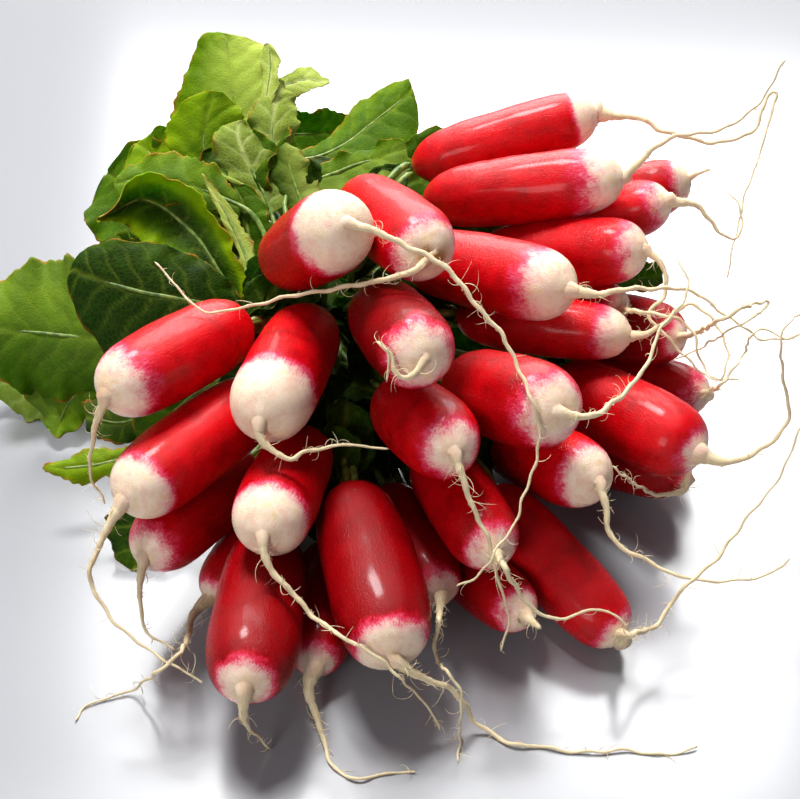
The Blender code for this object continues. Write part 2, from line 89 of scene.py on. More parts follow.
def rings_of(node):
    mesh = bmesh.new()
    mesh.from_mesh(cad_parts[node].data)
    bmesh.ops.remove_doubles(mesh, verts=mesh.verts, dist=4e-6)
    most = max(len(v.link_edges) for v in mesh.verts)
    ends = [v for v in mesh.verts if len(v.link_edges) == most]
    start = min(ends, key=lambda v: sum(e.calc_length() for e in v.link_edges) if node[0] == "l"
                else -len(v.link_edges))
    seen = {start}
    layer = [start]
    rings = []
    while layer:
        rings.append(np.array([v.co for v in layer]))
        after = []
        for v in layer:
            for edge in v.link_edges:
                w = edge.other_vert(v)
                if w not in seen:
                    seen.add(w)
                    after.append(w)
        layer = after
    mesh.free()
    return rings


radish_names = sorted(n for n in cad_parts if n.startswith("radish"))
leaf_names = sorted(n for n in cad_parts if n.startswith("leaf"))
print(len(radish_names), "radishes,", len(leaf_names), "leaves; rings of radish_30:",
      [len(r) for r in rings_of("radish_30")])

# %% [markdown]
# ## Smooth lines and the frames that ride on them
# A root is a smooth thread, so its few solid points get a curve that runs through all of them. To wrap
# a skin round a line we also need two directions across it at every point. They are carried along the
# line from one point to the next, so the skin never twists.

# %% Curves and carried frames


def smooth_line(points, step):
    points = np.asarray(points, dtype=float)
    pad = np.vstack([2 * points[0] - points[1], points, 2 * points[-1] - points[-2]])
    share = np.linspace(0.0, 1.0, 10, endpoint=False)[:, None]
    fine = []
    for a, b, c, d in zip(pad, pad[1:], pad[2:], pad[3:]):
        fine.append(0.5 * (2 * b + (c - a) * share + (2 * a - 5 * b + 4 * c - d) * share ** 2
                           + (3 * b - a - 3 * c + d) * share ** 3))
    fine = np.vstack(fine + [points[-1:]])
    run = np.concatenate([[0.0], np.cumsum(np.linalg.norm(np.diff(fine, axis=0), axis=1))])
    count = max(3, int(round(run[-1] / step)))
    marks = np.linspace(0.0, run[-1], count + 1)
    return np.stack([np.interp(marks, run, fine[:, k]) for k in range(3)], axis=1)


def carry_frames(line):
    ahead = np.gradient(line, axis=0)
    ahead /= np.linalg.norm(ahead, axis=1)[:, None] + 1e-12
    side = np.zeros_like(line)
    first = np.array([0.2, 0.3, 0.93])
    for k, run in enumerate(ahead):
        first = first - run * (first @ run)
        first = first / np.linalg.norm(first)
        side[k] = first
    return ahead, side, np.cross(side, ahead)


print("a 10 mm corner smoothed every mm has",
      len(smooth_line(np.array([(0, 0, 0), (5, 0, 0), (5, 5, 0)]) * MM, MM)), "points")

# %% [markdown]
# ## A skin is a stretched ball
# A UV sphere is already a stack of rings closed by a pole at each end, just what a radish, a root or a
# stalk is. So each one starts as a sphere with as many rings as its line has points, and every ring is
# then moved to its place on the line and opened to the girth it needs there.

# %% Grow a skin on a line


def read_points(thing):
    flat = np.zeros(len(thing.data.vertices) * 3)
    thing.data.vertices.foreach_get("co", flat)
    return flat.reshape(-1, 3)


def write_points(thing, points):
    thing.data.vertices.foreach_set("co", np.ascontiguousarray(points, dtype=float).ravel())
    thing.data.update()


def mark(thing, name, values):
    """Store one number, or three, on every point, for the materials to read."""
    values = np.asarray(values, dtype=np.float32)
    kind = "FLOAT" if values.ndim == 1 else "FLOAT_VECTOR"
    layer = thing.data.attributes.new(name, kind, "POINT")
    layer.data.foreach_set("value" if values.ndim == 1 else "vector", values.ravel())


def ball_map(points, count):
    ring = np.rint(np.arccos(np.clip(points[:, 2], -1.0, 1.0)) / math.pi * (count - 1))
    return ring.astype(int), np.arctan2(points[:, 1], points[:, 0])


def grow_skin(name, line, girth, around, uneven=None):
    bpy.ops.object.select_all(action="DESELECT")
    bpy.ops.mesh.primitive_uv_sphere_add(segments=around, ring_count=len(line) - 1)
    skin = bpy.context.active_object
    skin.name = name
    ring, angle = ball_map(read_points(skin), len(line))
    _, side, other = carry_frames(line)
    reach = np.asarray(girth)[ring]
    if uneven is not None:
        reach = reach * uneven(angle, ring)
    write_points(skin, line[ring] + side[ring] * (np.cos(angle) * reach)[:, None]
                 + other[ring] * (np.sin(angle) * reach)[:, None])
    bpy.ops.object.shade_smooth()
    return skin, ring, angle


def join_all(things):
    bpy.ops.object.select_all(action="DESELECT")
    for thing in things:
        thing.select_set(True)
    bpy.context.view_layer.objects.active = things[0]
    if len(things) > 1:
        bpy.ops.object.join()
    return things[0]


print("rows of the poles of a ball of 9 rows:",
      ball_map(np.array([(0.0, 0.0, 1.0), (0.0, 0.0, -1.0)]), 9)[0])

# %% [markdown]
# ## Colours and nodes
# Colours are written as the hex values a paint program shows and turned to linear light by one
# function. One more function adds a node with its settings and links, which keeps each material
# readable.

# %% Small material helpers


def linear(code):
    parts = [int(code[k:k + 2], 16) / 255 for k in (1, 3, 5)]
    return (*[c / 12.92 if c <= 0.04045 else ((c + 0.055) / 1.055) ** 2.4 for c in parts], 1.0)


def new_material(name):
    material = bpy.data.materials.new(name)
    material.use_nodes = True
    return material, material.node_tree, material.node_tree.nodes["Principled BSDF"]


def node(tree, kind, values=None, links=None, **settings):
    made = tree.nodes.new(kind)
    for key, value in settings.items():
        setattr(made, key, value)
    for key, value in (values or {}).items():
        made.inputs[key].default_value = value
    for key, source in (links or {}).items():
        tree.links.new(source, made.inputs[key])
    return made


def ramp(tree, source, stops):
    made = node(tree, "ShaderNodeValToRGB", links={"Fac": source})
    while len(made.color_ramp.elements) < len(stops):
        made.color_ramp.elements.new(0.5)
    for element, (place, color) in zip(made.color_ramp.elements, stops):
        element.position = place
        element.color = color
    return made.outputs["Color"]


print("a radish red in linear light:", [round(part, 3) for part in linear("#c60006")])

# %% [markdown]
# ## Radish skin
# The skin of a fresh, just washed radish is a thin waxy layer over white flesh. The red ends near the
# tip in a band that breaks up into fine pink streaks, because the pigment sits in rows of cells that
# run lengthwise. Each radish carries marks on its points: `skin`, its unrolled place in mm, `zone`, how
# far it is past the end of the red, from -1 to 1 over the haze, `root`, 0 on the body and 1 on the
# threads, and `crown`. Streaks are noise stretched lengthwise, about 0.5 mm wide and 2.4 mm long. Pits
# in the skin are 0.4 mm apart and make its shine uneven. One more mark paints shade: it darkens the red
# towards a near black red on the radishes that lie in the shadow of others.

# %% Make the radish skin
skin_mat, tree, shader = new_material("waxy radish skin")
skin_at = node(tree, "ShaderNodeAttribute", attribute_name="skin").outputs["Vector"]
zone_at = node(tree, "ShaderNodeAttribute", attribute_name="zone").outputs["Fac"]
root_at = node(tree, "ShaderNodeAttribute", attribute_name="root").outputs["Fac"]
crown_at = node(tree, "ShaderNodeAttribute", attribute_name="crown").outputs["Fac"]
# painted shade: a per-radish mark of how far its red is darkened for lying in the shadow of others
painted_shade_at = node(tree, "ShaderNodeAttribute", attribute_name="painted_shade").outputs["Fac"]
lengthwise = node(tree, "ShaderNodeMapping", {"Scale": (1.9, 1.9, 0.42)}, {"Vector": skin_at})
streaks = node(tree, "ShaderNodeTexNoise", {"Scale": 1.0, "Detail": 3.0, "Roughness": 0.65},
               {"Vector": lengthwise.outputs[0]})
patches = node(tree, "ShaderNodeTexNoise", {"Scale": 0.17, "Detail": 4.0, "Roughness": 0.6},
               {"Vector": skin_at})
speckle = node(tree, "ShaderNodeTexNoise", {"Scale": 2.4, "Detail": 2.0, "Roughness": 0.7},
               {"Vector": skin_at})
ragged = node(tree, "ShaderNodeMath", {1: 1.7, 2: -0.85},
              {0: streaks.outputs["Fac"]}, operation="MULTIPLY_ADD")
drift = node(tree, "ShaderNodeMath", {1: 2.6, 2: -1.3},
             {0: patches.outputs["Fac"]}, operation="MULTIPLY_ADD")
edge_a = node(tree, "ShaderNodeMath", links={0: zone_at, 1: ragged.outputs[0]}, operation="ADD")
edge_b = node(tree, "ShaderNodeMath", links={0: edge_a.outputs[0], 1: drift.outputs[0]},
              operation="ADD")
fade = node(tree, "ShaderNodeMapRange", {"From Min": -1.2, "From Max": 1.3},
            {"Value": edge_b.outputs[0]})
reds = ramp(tree, patches.outputs["Fac"], [(0.30, linear("#a40004")), (0.50, linear("#c60006")),
                                           (0.70, linear("#d6020e"))])
dapple = node(tree, "ShaderNodeMapRange", {"From Min": 0.35, "From Max": 0.7, "To Min": 0.0,
                                           "To Max": 0.30}, {"Value": streaks.outputs["Fac"]})
streaked = node(tree, "ShaderNodeMix", {7: linear("#cc1222")},
                {"Factor": dapple.outputs[0], 6: reds}, data_type="RGBA")
# painted shade: the red is mixed towards a near black red by that mark
red_with_painted_shade = node(tree, "ShaderNodeMix", {7: linear("#6e0004")},
                {"Factor": painted_shade_at, 6: streaked.outputs[2]}, data_type="RGBA")
pale = ramp(tree, fade.outputs[0], [(0.0, linear("#c00208")), (0.20, linear("#ca0a2a")),
                                    (0.42, linear("#dc4666")), (0.60, linear("#eca4a2")),
                                    (0.82, linear("#f4d2c2")), (1.0, linear("#f5dcc2"))])
is_pale = node(tree, "ShaderNodeMapRange", {"From Min": 0.0, "From Max": 0.25},
               {"Value": fade.outputs[0]})
cloud = node(tree, "ShaderNodeTexNoise", {"Scale": 0.30, "Detail": 2.0}, {"Vector": skin_at})
warm = ramp(tree, cloud.outputs["Fac"], [(0.35, linear("#f8e4e0")), (0.52, linear("#ffffff")),
                                         (0.72, linear("#f6ecc8"))])
washed = node(tree, "ShaderNodeMix", {"Factor": 0.7}, {6: pale, 7: warm}, data_type="RGBA",
              blend_type="MULTIPLY")
body_color = node(tree, "ShaderNodeMix", links={"Factor": is_pale.outputs[0],
                                                6: red_with_painted_shade.outputs[2], 7: washed.outputs[2]},
                  data_type="RGBA")
thread_color = ramp(tree, streaks.outputs["Fac"], [(0.30, linear("#c6a468")),
                                                   (0.46, linear("#e6d0a4")),
                                                   (0.66, linear("#f2e4c6"))])
with_root = node(tree, "ShaderNodeMix", links={"Factor": root_at, 6: body_color.outputs[2],
                                               7: thread_color}, data_type="RGBA")
scar_color = ramp(tree, speckle.outputs["Fac"], [(0.35, linear("#7a4a1c")),
                                                 (0.6, linear("#cc8c3c"))])
colored = node(tree, "ShaderNodeMix", links={"Factor": crown_at, 6: with_root.outputs[2],
                                             7: scar_color}, data_type="RGBA")
tree.links.new(colored.outputs[2], shader.inputs["Base Color"])
dull = node(tree, "ShaderNodeMapRange", {"From Min": 0.38, "From Max": 0.62, "To Min": 0.14,
                                         "To Max": 0.46}, {"Value": speckle.outputs["Fac"]})
duller = node(tree, "ShaderNodeMath", links={0: dull.outputs[0], 1: root_at}, operation="MAXIMUM")
limited = node(tree, "ShaderNodeMath", {1: 0.6}, {0: duller.outputs[0]}, operation="MINIMUM")
tree.links.new(limited.outputs[0], shader.inputs["Roughness"])
grain = node(tree, "ShaderNodeMath", {1: 0.5}, {0: streaks.outputs["Fac"],
                                                2: speckle.outputs["Fac"]},
             operation="MULTIPLY_ADD")
bump = node(tree, "ShaderNodeBump", {"Strength": 0.6, "Distance": 0.0004},
            {"Height": grain.outputs[0]})
tree.links.new(bump.outputs[0], shader.inputs["Normal"])
shader.inputs["IOR"].default_value = 1.40
shader.inputs["Specular IOR Level"].default_value = 0.22
shader.inputs["Subsurface Weight"].default_value = 0.10
shader.inputs["Subsurface Radius"].default_value = (1.0, 0.35, 0.25)
shader.inputs["Subsurface Scale"].default_value = 0.003
shader.inputs["Coat Weight"].default_value = 0.16
shader.inputs["Coat Roughness"].default_value = 0.16
print("skin nodes:", len(tree.nodes))

# %% [markdown]
# ## The shape of one radish
# A French breakfast radish is a blunt cylinder: it swells quickly behind the crown, stays almost even,
# and closes in a round tip from which the root comes out like the neck of a bottle. Its outline is the
# body's curve and the root's curve added with a power, which leaves a soft hollow where they meet.

# %% Outline of body and root
BODY = [(0.0, 0.0), (0.006, 0.17), (0.02, 0.32), (0.05, 0.53), (0.10, 0.74), (0.18, 0.89),
        (0.30, 0.965), (0.45, 0.99), (0.60, 1.0), (0.73, 0.99), (0.82, 0.95), (0.88, 0.87),
        (0.93, 0.74), (0.967, 0.55), (0.989, 0.31), (1.0, 0.0)]


def outline(along, body_length, tail_length, radius, neck, neck_length, blunt):
    """Girth at a distance from the crown, all in mm."""
    t = np.clip(along / body_length, 0.0, 1.0)
    places, sizes = np.array(BODY).T
    fine = np.linspace(0.0, 1.0, 400)
    body = np.interp(t, fine, np.convolve(np.pad(np.interp(fine, places, sizes), 8, mode="edge"),
                                          np.ones(17) / 17, mode="valid"))
    body = np.where(t <= 0.02, np.interp(t, places, sizes), body)
    body = np.where(t >= 0.985, np.interp(t, places, sizes), body)
    body *= 1.0 - blunt * np.clip((t - 0.45) / 0.55, 0.0, 1.0) ** 2
    past = along - body_length
    rest = np.clip(past / max(tail_length, 1e-6), 0.0, 1.0)
    thread = 0.30 + 0.62 * (1.0 - rest) ** 1.5
    thread += (neck - 0.9) * np.exp(-np.clip(past, 0.0, None) / neck_length)
    thread *= np.clip(1.0 + past / (0.25 * body_length), 0.0, 1.0) ** 2
    return ((body * radius) ** 2.4 + thread ** 2.4) ** (1 / 2.4)


print("girth of a 24 mm radish every 12 mm:",
      np.round(outline(np.arange(0, 84, 12.0), 60.0, 60.0, 12.0, 2.4, 5.0, 0.0) * 2, 1))

# %% [markdown]
# ## What makes each one different
# No two are alike. Every radish gets the share of its length where the red ends, half the width of the
# pink haze in mm, how far its end is drawn out, and the thickness and length of its root's neck. The
# values are given for each one; `usual` stands for the ones that show little. One more table paints
# shade: it darkens the red of the radishes that lie in the shadow of others. `RUST` says which are
# browned round the neck.

# %% The character of each radish
usual = (0.90, 3.0, 0.06, 1.7, 3.5)
CHARACTER = {
    "radish_01": (0.885, 1.6, 0.0, 4.2, 4.5), "radish_02": (0.83, 6.5, 0.05, 2.6, 5.0),
    "radish_03": (0.93, 3.0, 0.10, 1.6, 2.0), "radish_04": (0.94, 4.0, 0.08, 2.8, 5.0),
    "radish_05": (0.925, 4.0, 0.06, 1.9, 3.0), "radish_06": (0.83, 5.5, 0.04, 2.8, 5.0),
    "radish_07": (0.845, 4.0, 0.08, 2.0, 3.5), "radish_08": (0.985, 3.0, 0.08, 1.9, 4.0),
    "radish_09": (0.93, 3.5, 0.08, 1.9, 4.0), "radish_10": (0.95, 5.0, 0.10, 2.2, 5.0),
    "radish_11": (0.985, 3.0, 0.02, 3.6, 5.0), "radish_12": (0.99, 3.0, 0.10, 2.4, 5.0),
    "radish_13": (0.935, 4.0, 0.0, 2.0, 3.5), "radish_14": (0.895, 3.0, 0.04, 2.0, 4.5),
    "radish_15": (0.935, 4.5, 0.0, 1.3, 3.0), "radish_16": (0.955, 3.5, 0.03, 1.9, 4.5),
    "radish_17": (0.960, 3.5, 0.04, 2.2, 4.0), "radish_18": (0.960, 2.8, 0.04, 3.2, 6.0),
    "radish_19": (0.930, 2.6, 0.04, 2.6, 4.5), "radish_20": (0.955, 4.0, 0.08, 2.4, 5.0),
    "radish_21": (0.945, 3.5, 0.12, 2.6, 4.0), "radish_22": (0.970, 2.6, 0.0, 2.5, 5.5),
    "radish_23": (0.965, 2.4, 0.08, 2.8, 7.0), "radish_24": (0.845, 3.2, 0.0, 1.9, 4.5),
    "radish_25": (0.755, 4.2, 0.0, 2.2, 4.0), "radish_26": (0.875, 5.5, 0.08, 2.4, 4.5),
    "radish_27": (0.865, 2.6, 0.04, 2.6, 5.0), "radish_28": (0.945, 4.0, 0.06, 2.2, 4.5),
    "radish_29": (0.970, 3.0, 0.08, 2.6, 6.0), "radish_30": (0.790, 3.6, 0.0, 1.8, 5.0),
    "radish_31": (0.915, 3.8, 0.03, 1.8, 4.0),
}
# painted shade: how far the red of each radish is darkened because it lies in the shadow of others
PAINTED_SHADE = {"radish_12": 0.5, "radish_13": 0.4, "radish_15": 0.85, "radish_18": 0.0, "radish_19": 0.75,
        "radish_20": 0.5, "radish_21": 0.4, "radish_22": 0.75, "radish_23": 0.4, "radish_24": 0.3,
        "radish_08": 0.5, "radish_28": 0.2, "radish_29": 0.4, "radish_17": 0.2, "radish_30": 0.3}
RUST = {"radish_31": 1.5, "radish_26": 0.6, "radish_29": 0.6, "radish_22": 0.45}
# the second count is of the radishes with painted shade
print("with a character of their own:", len(CHARACTER), "in painted shade:", len(PAINTED_SHADE))

# %% [markdown]
# ## Side roots and root hairs
# The threads carry short side roots that curl off to all sides, thickest near the neck. There are
# hundreds, so they share one master: a ball of four sides and eight rings, 32 faces in all, stretched
# along a curl of its own for every hair. All hairs of a radish become one mesh.

# %% The master hair and its curls
bpy.ops.object.select_all(action="DESELECT")
bpy.ops.mesh.primitive_uv_sphere_add(segments=4, ring_count=8)
master = bpy.context.active_object
master_ring, master_angle = ball_map(read_points(master), 9)
master_faces = [tuple(f.vertices) for f in master.data.polygons]
bpy.data.objects.remove(master)


def curl(start, heading, length, bend, rng):
    """Nine points of a curling hair, in metres."""
    points = [start]
    turn = np.cross(heading, [rng.uniform(-1, 1) for _ in range(3)])
    turn = turn / np.linalg.norm(turn)
    amount = rng.uniform(0.2, 1.0) * bend
    for _ in range(8):
        stray = np.array([rng.uniform(-1, 1) for _ in range(3)]) * 0.10
        heading = heading + np.cross(turn, heading) * amount + stray
        heading = heading / np.linalg.norm(heading)
        points.append(points[-1] + heading * length / 8)
    return np.array(points)


def hair_mesh(name, curls):
    points = []
    faces = []
    for line, thick in curls:
        _, side, other = carry_frames(line)
        shape = np.array([0.0, 1.0, 0.92, 0.82, 0.72, 0.6, 0.5, 0.38, 0.0]) * thick
        reach = shape[master_ring]
        base = len(points) * len(master_ring)
        points.append(line[master_ring] + side[master_ring] * (np.cos(master_angle) * reach)[:, None]
                      + other[master_ring] * (np.sin(master_angle) * reach)[:, None])
        faces += [tuple(base + k for k in face) for face in master_faces]
    mesh = bpy.data.meshes.new(name)
    mesh.from_pydata(np.vstack(points).tolist(), [], faces)
    mesh.polygons.foreach_set("use_smooth", [True] * len(mesh.polygons))
    made = bpy.data.objects.new(name, mesh)
    bpy.context.scene.collection.objects.link(made)
    return made


print("one hair has", len(master_faces), "faces")

# %% [markdown]
# ## Growing the radishes
# For each radish the rings of its solid give the crown, the tip, the girth and the thread. The thread
# is then made finer than the solid, with small kinks where it met grit in the soil. The body bows
# slightly.

# %% Find the line of one radish
SKIN_OVER_SOLID = 1.035    # girth of the skin over girth of the solid
CROWN_BEHIND = 3.5         # mm the crown reaches back past the solid
TIP_AHEAD = 0.8            # mm the tip reaches past the solid
BODY_STATIONS = 46
BODY_AROUND = 30
THREAD_STEP = 1.15         # mm between two points of the thread


def line_of(name, rng):
    """Body and thread in metres; radius and length of the solid in mm."""
    rings = rings_of(name)
    centers = np.array([r.mean(axis=0) for r in rings])
    body = [k for k, r in enumerate(rings) if len(r) > 6]
    radius = max(np.linalg.norm(rings[k] - centers[k], axis=1).max() for k in body)
    radius = radius / MM * SKIN_OVER_SOLID
    tip = centers[body[-1] + 1]
    axis = (tip - centers[0]) / np.linalg.norm(tip - centers[0])
    solid_long = np.linalg.norm(tip - centers[0]) / MM
    crown = centers[0] - axis * CROWN_BEHIND * MM
    tip = tip + axis * TIP_AHEAD * MM
    long = np.linalg.norm(tip - crown)
    marks = 0.5 - 0.5 * np.cos(np.linspace(0.0, math.pi, BODY_STATIONS))
    spine = crown + axis * (marks * long)[:, None]
    bow = np.cross(axis, [rng.uniform(-1, 1) for _ in range(3)])
    spine = spine + bow * (np.sin(math.pi * marks) * 0.7 * MM)[:, None]
    thread = np.vstack([tip - axis * 2 * MM, centers[body[-1] + 2:]])
    thread = smooth_line(thread, THREAD_STEP * MM)[3:]
    _, side, other = carry_frames(thread)
    steps = np.arange(len(thread))
    stray = np.minimum(steps / 12.0, 1.0) * 0.38 * MM
    waves = [(rng.uniform(0.25, 0.5), rng.uniform(0, 6)), (rng.uniform(0.7, 1.1), rng.uniform(0, 6))]
    kink = sum(np.sin(steps * f + p) for f, p in waves)
    sway = sum(np.cos(steps * f * 0.83 + p) for f, p in waves)
    thread = thread + (side * (kink * stray)[:, None] + other * (sway * stray * 0.5)[:, None]) * 0.7
    return spine, thread, radius, solid_long


print("thread of radish_30 has", len(line_of("radish_30", random.Random("radish_30"))[1]), "points")

# %% [markdown]
# ## Skin of one radish
# The line gets its girth from the outline, and knots are added along the thread. Then the ball is
# stretched over it, a little uneven all round, and every point gets its marks.

# %% Grow one radish


def grow_radish(name):
    rng = random.Random(name)
    spine, thread, radius, solid_long = line_of(name, rng)
    red_end, haze, blunt, neck, neck_long = CHARACTER.get(name, usual)
    line = np.vstack([spine, thread])
    along = np.concatenate([[0.0], np.cumsum(np.linalg.norm(np.diff(line, axis=0), axis=1))]) / MM
    body_long = along[len(spine) - 1]
    tail_long = along[-1] - body_long
    girth = outline(along, body_long, tail_long, radius, neck, neck_long, blunt)
    knots = 1.0 + 0.16 * np.sin(along * 2.1 + rng.uniform(0, 6)) * np.sin(along * 0.83)
    girth = np.where(along > body_long + 3, girth * knots, girth)
    girth[0] = 0.0
    girth[-1] = 0.0
    over_skin = np.concatenate([[0.0], np.cumsum(np.hypot(np.diff(along), np.diff(girth)))])
    red_stop = np.interp(CROWN_BEHIND + red_end * solid_long, along, over_skin)
    phase = [rng.uniform(0, 6.28) for _ in range(5)]

    def uneven(angle, ring):
        s = along[ring]
        on_body = np.clip((body_long - s) / 6.0, 0.0, 1.0)
        lump = 0.014 * np.sin(2 * angle + phase[0] + s * 0.05)
        lump += 0.010 * np.sin(3 * angle + phase[1] - s * 0.07)
        lump += 0.007 * np.sin(s * 0.35 + phase[2]) + 0.005 * np.sin(5 * angle + s * 0.2 + phase[3])
        shoulder = 0.05 * np.sin(6 * angle + phase[4]) * np.exp(-s / 3.0)
        return 1.0 + (lump + shoulder) * on_body

    skin, ring, angle = grow_skin(name + "_skin", line, girth * MM, BODY_AROUND, uneven)
    s = along[ring]
    round_mm = np.maximum(girth[ring], radius * 0.5)
    offset = np.array([rng.uniform(-90, 90) for _ in range(3)])
    unrolled = np.stack([np.cos(angle) * round_mm, np.sin(angle) * round_mm, over_skin[ring]], axis=1)
    mark(skin, "skin", unrolled + offset)
    mark(skin, "zone", (over_skin[ring] - red_stop) / haze)
    mark(skin, "root", np.clip((s - body_long + 0.5) / 4.0, 0.0, 1.0))
    rust = RUST.get(name, 0.3) * np.exp(-((s - body_long - 0.6) / 1.8) ** 2)
    rust = rust * (0.6 + 0.4 * np.sin(angle * 2 + phase[1]))
    mark(skin, "crown", np.clip(1.0 - s / 1.8, 0.0, 1.0) + rust)
    # painted shade: one value over the whole radish, higher where it lies in the shadow of others
    mark(skin, "painted_shade", np.full(len(s), PAINTED_SHADE.get(name, 0.0)))
    return skin, thread, girth[len(spine):], offset, rng


print("radishes browned round the neck:", len(RUST))

# %% [markdown]
# ## Hairs of one radish
# Half of the hairs crowd the first third of the thread, and the rest stand anywhere on it. A hair is
# never thicker than half its thread, and its middle line stays 0.1 mm above the table.

# %% Grow the hairs, then all the radishes


def grow_hairs(name, thread, girth, offset, rng):
    curls = []
    ahead, side, other = carry_frames(thread)
    count = int(20 + len(thread) * 0.62)
    for k in range(count):
        near = rng.random() ** 2.2 * 0.35 if k % 2 == 0 else rng.random() * 0.97
        spot = min(len(thread) - 3, int(near * len(thread)))
        around = rng.uniform(0, 2 * math.pi)
        out = side[spot] * math.cos(around) + other[spot] * math.sin(around)
        out = out + ahead[spot] * rng.uniform(0.0, 1.3)
        out = out / np.linalg.norm(out)
        start = thread[spot] + out * girth[spot] * 0.5 * MM
        length = rng.choice([1.3, 2.0, 2.6, 3.4, 4.5, 6.5]) * rng.uniform(0.7, 1.4) * MM
        thick = min(girth[spot] * 0.5, rng.uniform(0.07, 0.13)) * MM
        line = curl(start, out, length, 0.45, rng)
        line[:, 2] = np.maximum(line[:, 2], 0.1 * MM)
        curls.append((line, thick))
    hairs = hair_mesh(name + "_hairs", curls)
    points = len(hairs.data.vertices)
    mark(hairs, "skin", read_points(hairs) / MM + offset)
    mark(hairs, "zone", np.full(points, 5.0))
    mark(hairs, "root", np.ones(points))
    mark(hairs, "crown", np.zeros(points))
    mark(hairs, "painted_shade", np.zeros(points))
    return hairs


radishes = {}
for name in radish_names:
    skin, thread, girth, offset, rng = grow_radish(name)
    hairs = grow_hairs(name, thread, girth, offset, rng)
    radish = join_all([skin, hairs])
    radish.data.materials.clear()
    radish.data.materials.append(skin_mat)
    radishes[name] = radish
print("radishes:", len(radishes), "faces:", sum(len(r.data.polygons) for r in radishes.values()))

# %% [markdown]
# ## Stalks at the crowns
# Every radish has a few leaf stalks at its crown. Most leaves were pulled off, and what is left are pale
# green stalks that run into the dark middle of the bunch and gather under the band. Each is a thin
# skin on a curve that leaves the crown along the radish and bends towards the band. Its finish gives the
# eye green patched with yellow, each patch about 2.4 mm across.

# %% Make the stalk finish
stalk_mat, tree, shader = new_material("fibrous leaf stalk")
place = node(tree, "ShaderNodeTexCoord").outputs["Object"]
cells = node(tree, "ShaderNodeTexNoise", {"Scale": 420.0, "Detail": 3.0}, {"Vector": place})
tree.links.new(ramp(tree, cells.outputs["Fac"], [(0.32, linear("#3f5c14")),
                                                 (0.52, linear("#6c8830")),
                                                 (0.72, linear("#98984c"))]),
               shader.inputs["Base Color"])
shader.inputs["Roughness"].default_value = 0.45
bump = node(tree, "ShaderNodeBump", {"Strength": 0.3, "Distance": 0.0004},
            {"Height": cells.outputs["Fac"]})
tree.links.new(bump.outputs[0], shader.inputs["Normal"])


def bend(p0, p1, p2, p3, count):
    t = np.linspace(0.0, 1.0, count)[:, None]
    return (p0 * (1 - t) ** 3 + p1 * 3 * t * (1 - t) ** 2 + p2 * 3 * t * t * (1 - t) + p3 * t ** 3)


print("stalk nodes:", len(tree.nodes))

# %% [markdown]
# ## Running the stalks
# Three of a crown's six stalks reach the band and the other three are broken off short of it. They
# spread at both ends, so that they do not fall into one line.

# %% Run stalks from the crowns to the band
band_axis = np.array([0.57, 0.0, 0.0]) + UP * -0.62 + OUT * 0.54
band_axis = band_axis / np.linalg.norm(band_axis)


def stalks_of(name):
    rng = random.Random("stalk" + name)
    rings = rings_of(name)
    crown = rings[0][0]
    body = [r.mean(axis=0) for r in rings if len(r) > 6]
    axis = body[-1] - crown
    axis = axis / np.linalg.norm(axis)
    made = []
    for k in range(6):
        jitter = np.cross(axis, [rng.uniform(-1, 1) for _ in range(3)])
        start = crown + jitter * 2.4 * MM - axis * 2.4 * MM
        inside = np.cross(band_axis, [rng.uniform(-1, 1) for _ in range(3)])
        goal = BAND + band_axis * 16 * MM + inside * 8 * MM
        gap = np.linalg.norm(goal - start)
        share = 1.0 if k < 3 else rng.uniform(0.12, 0.45)
        line = bend(start, start - axis * gap * 0.3 + jitter * 3 * MM,
                    goal + band_axis * gap * 0.25, goal, 18)
        line = smooth_line(line[:max(4, int(18 * share))], 3.0 * MM)
        thick = np.linspace(rng.uniform(1.2, 1.7), rng.uniform(0.9, 1.2), len(line)) * MM
        thick[0] = 0.0
        thick[-1] = 0.0
        made.append(grow_skin("%s_stalk_%d" % (name, k), line, thick, 8)[0])
    stalks = join_all(made)
    stalks.name = name + "_stalks"
    stalks.data.materials.append(stalk_mat)
    return stalks


stalks = {name: stalks_of(name) for name in radish_names}
print("stalk faces:", sum(len(s.data.polygons) for s in stalks.values()))
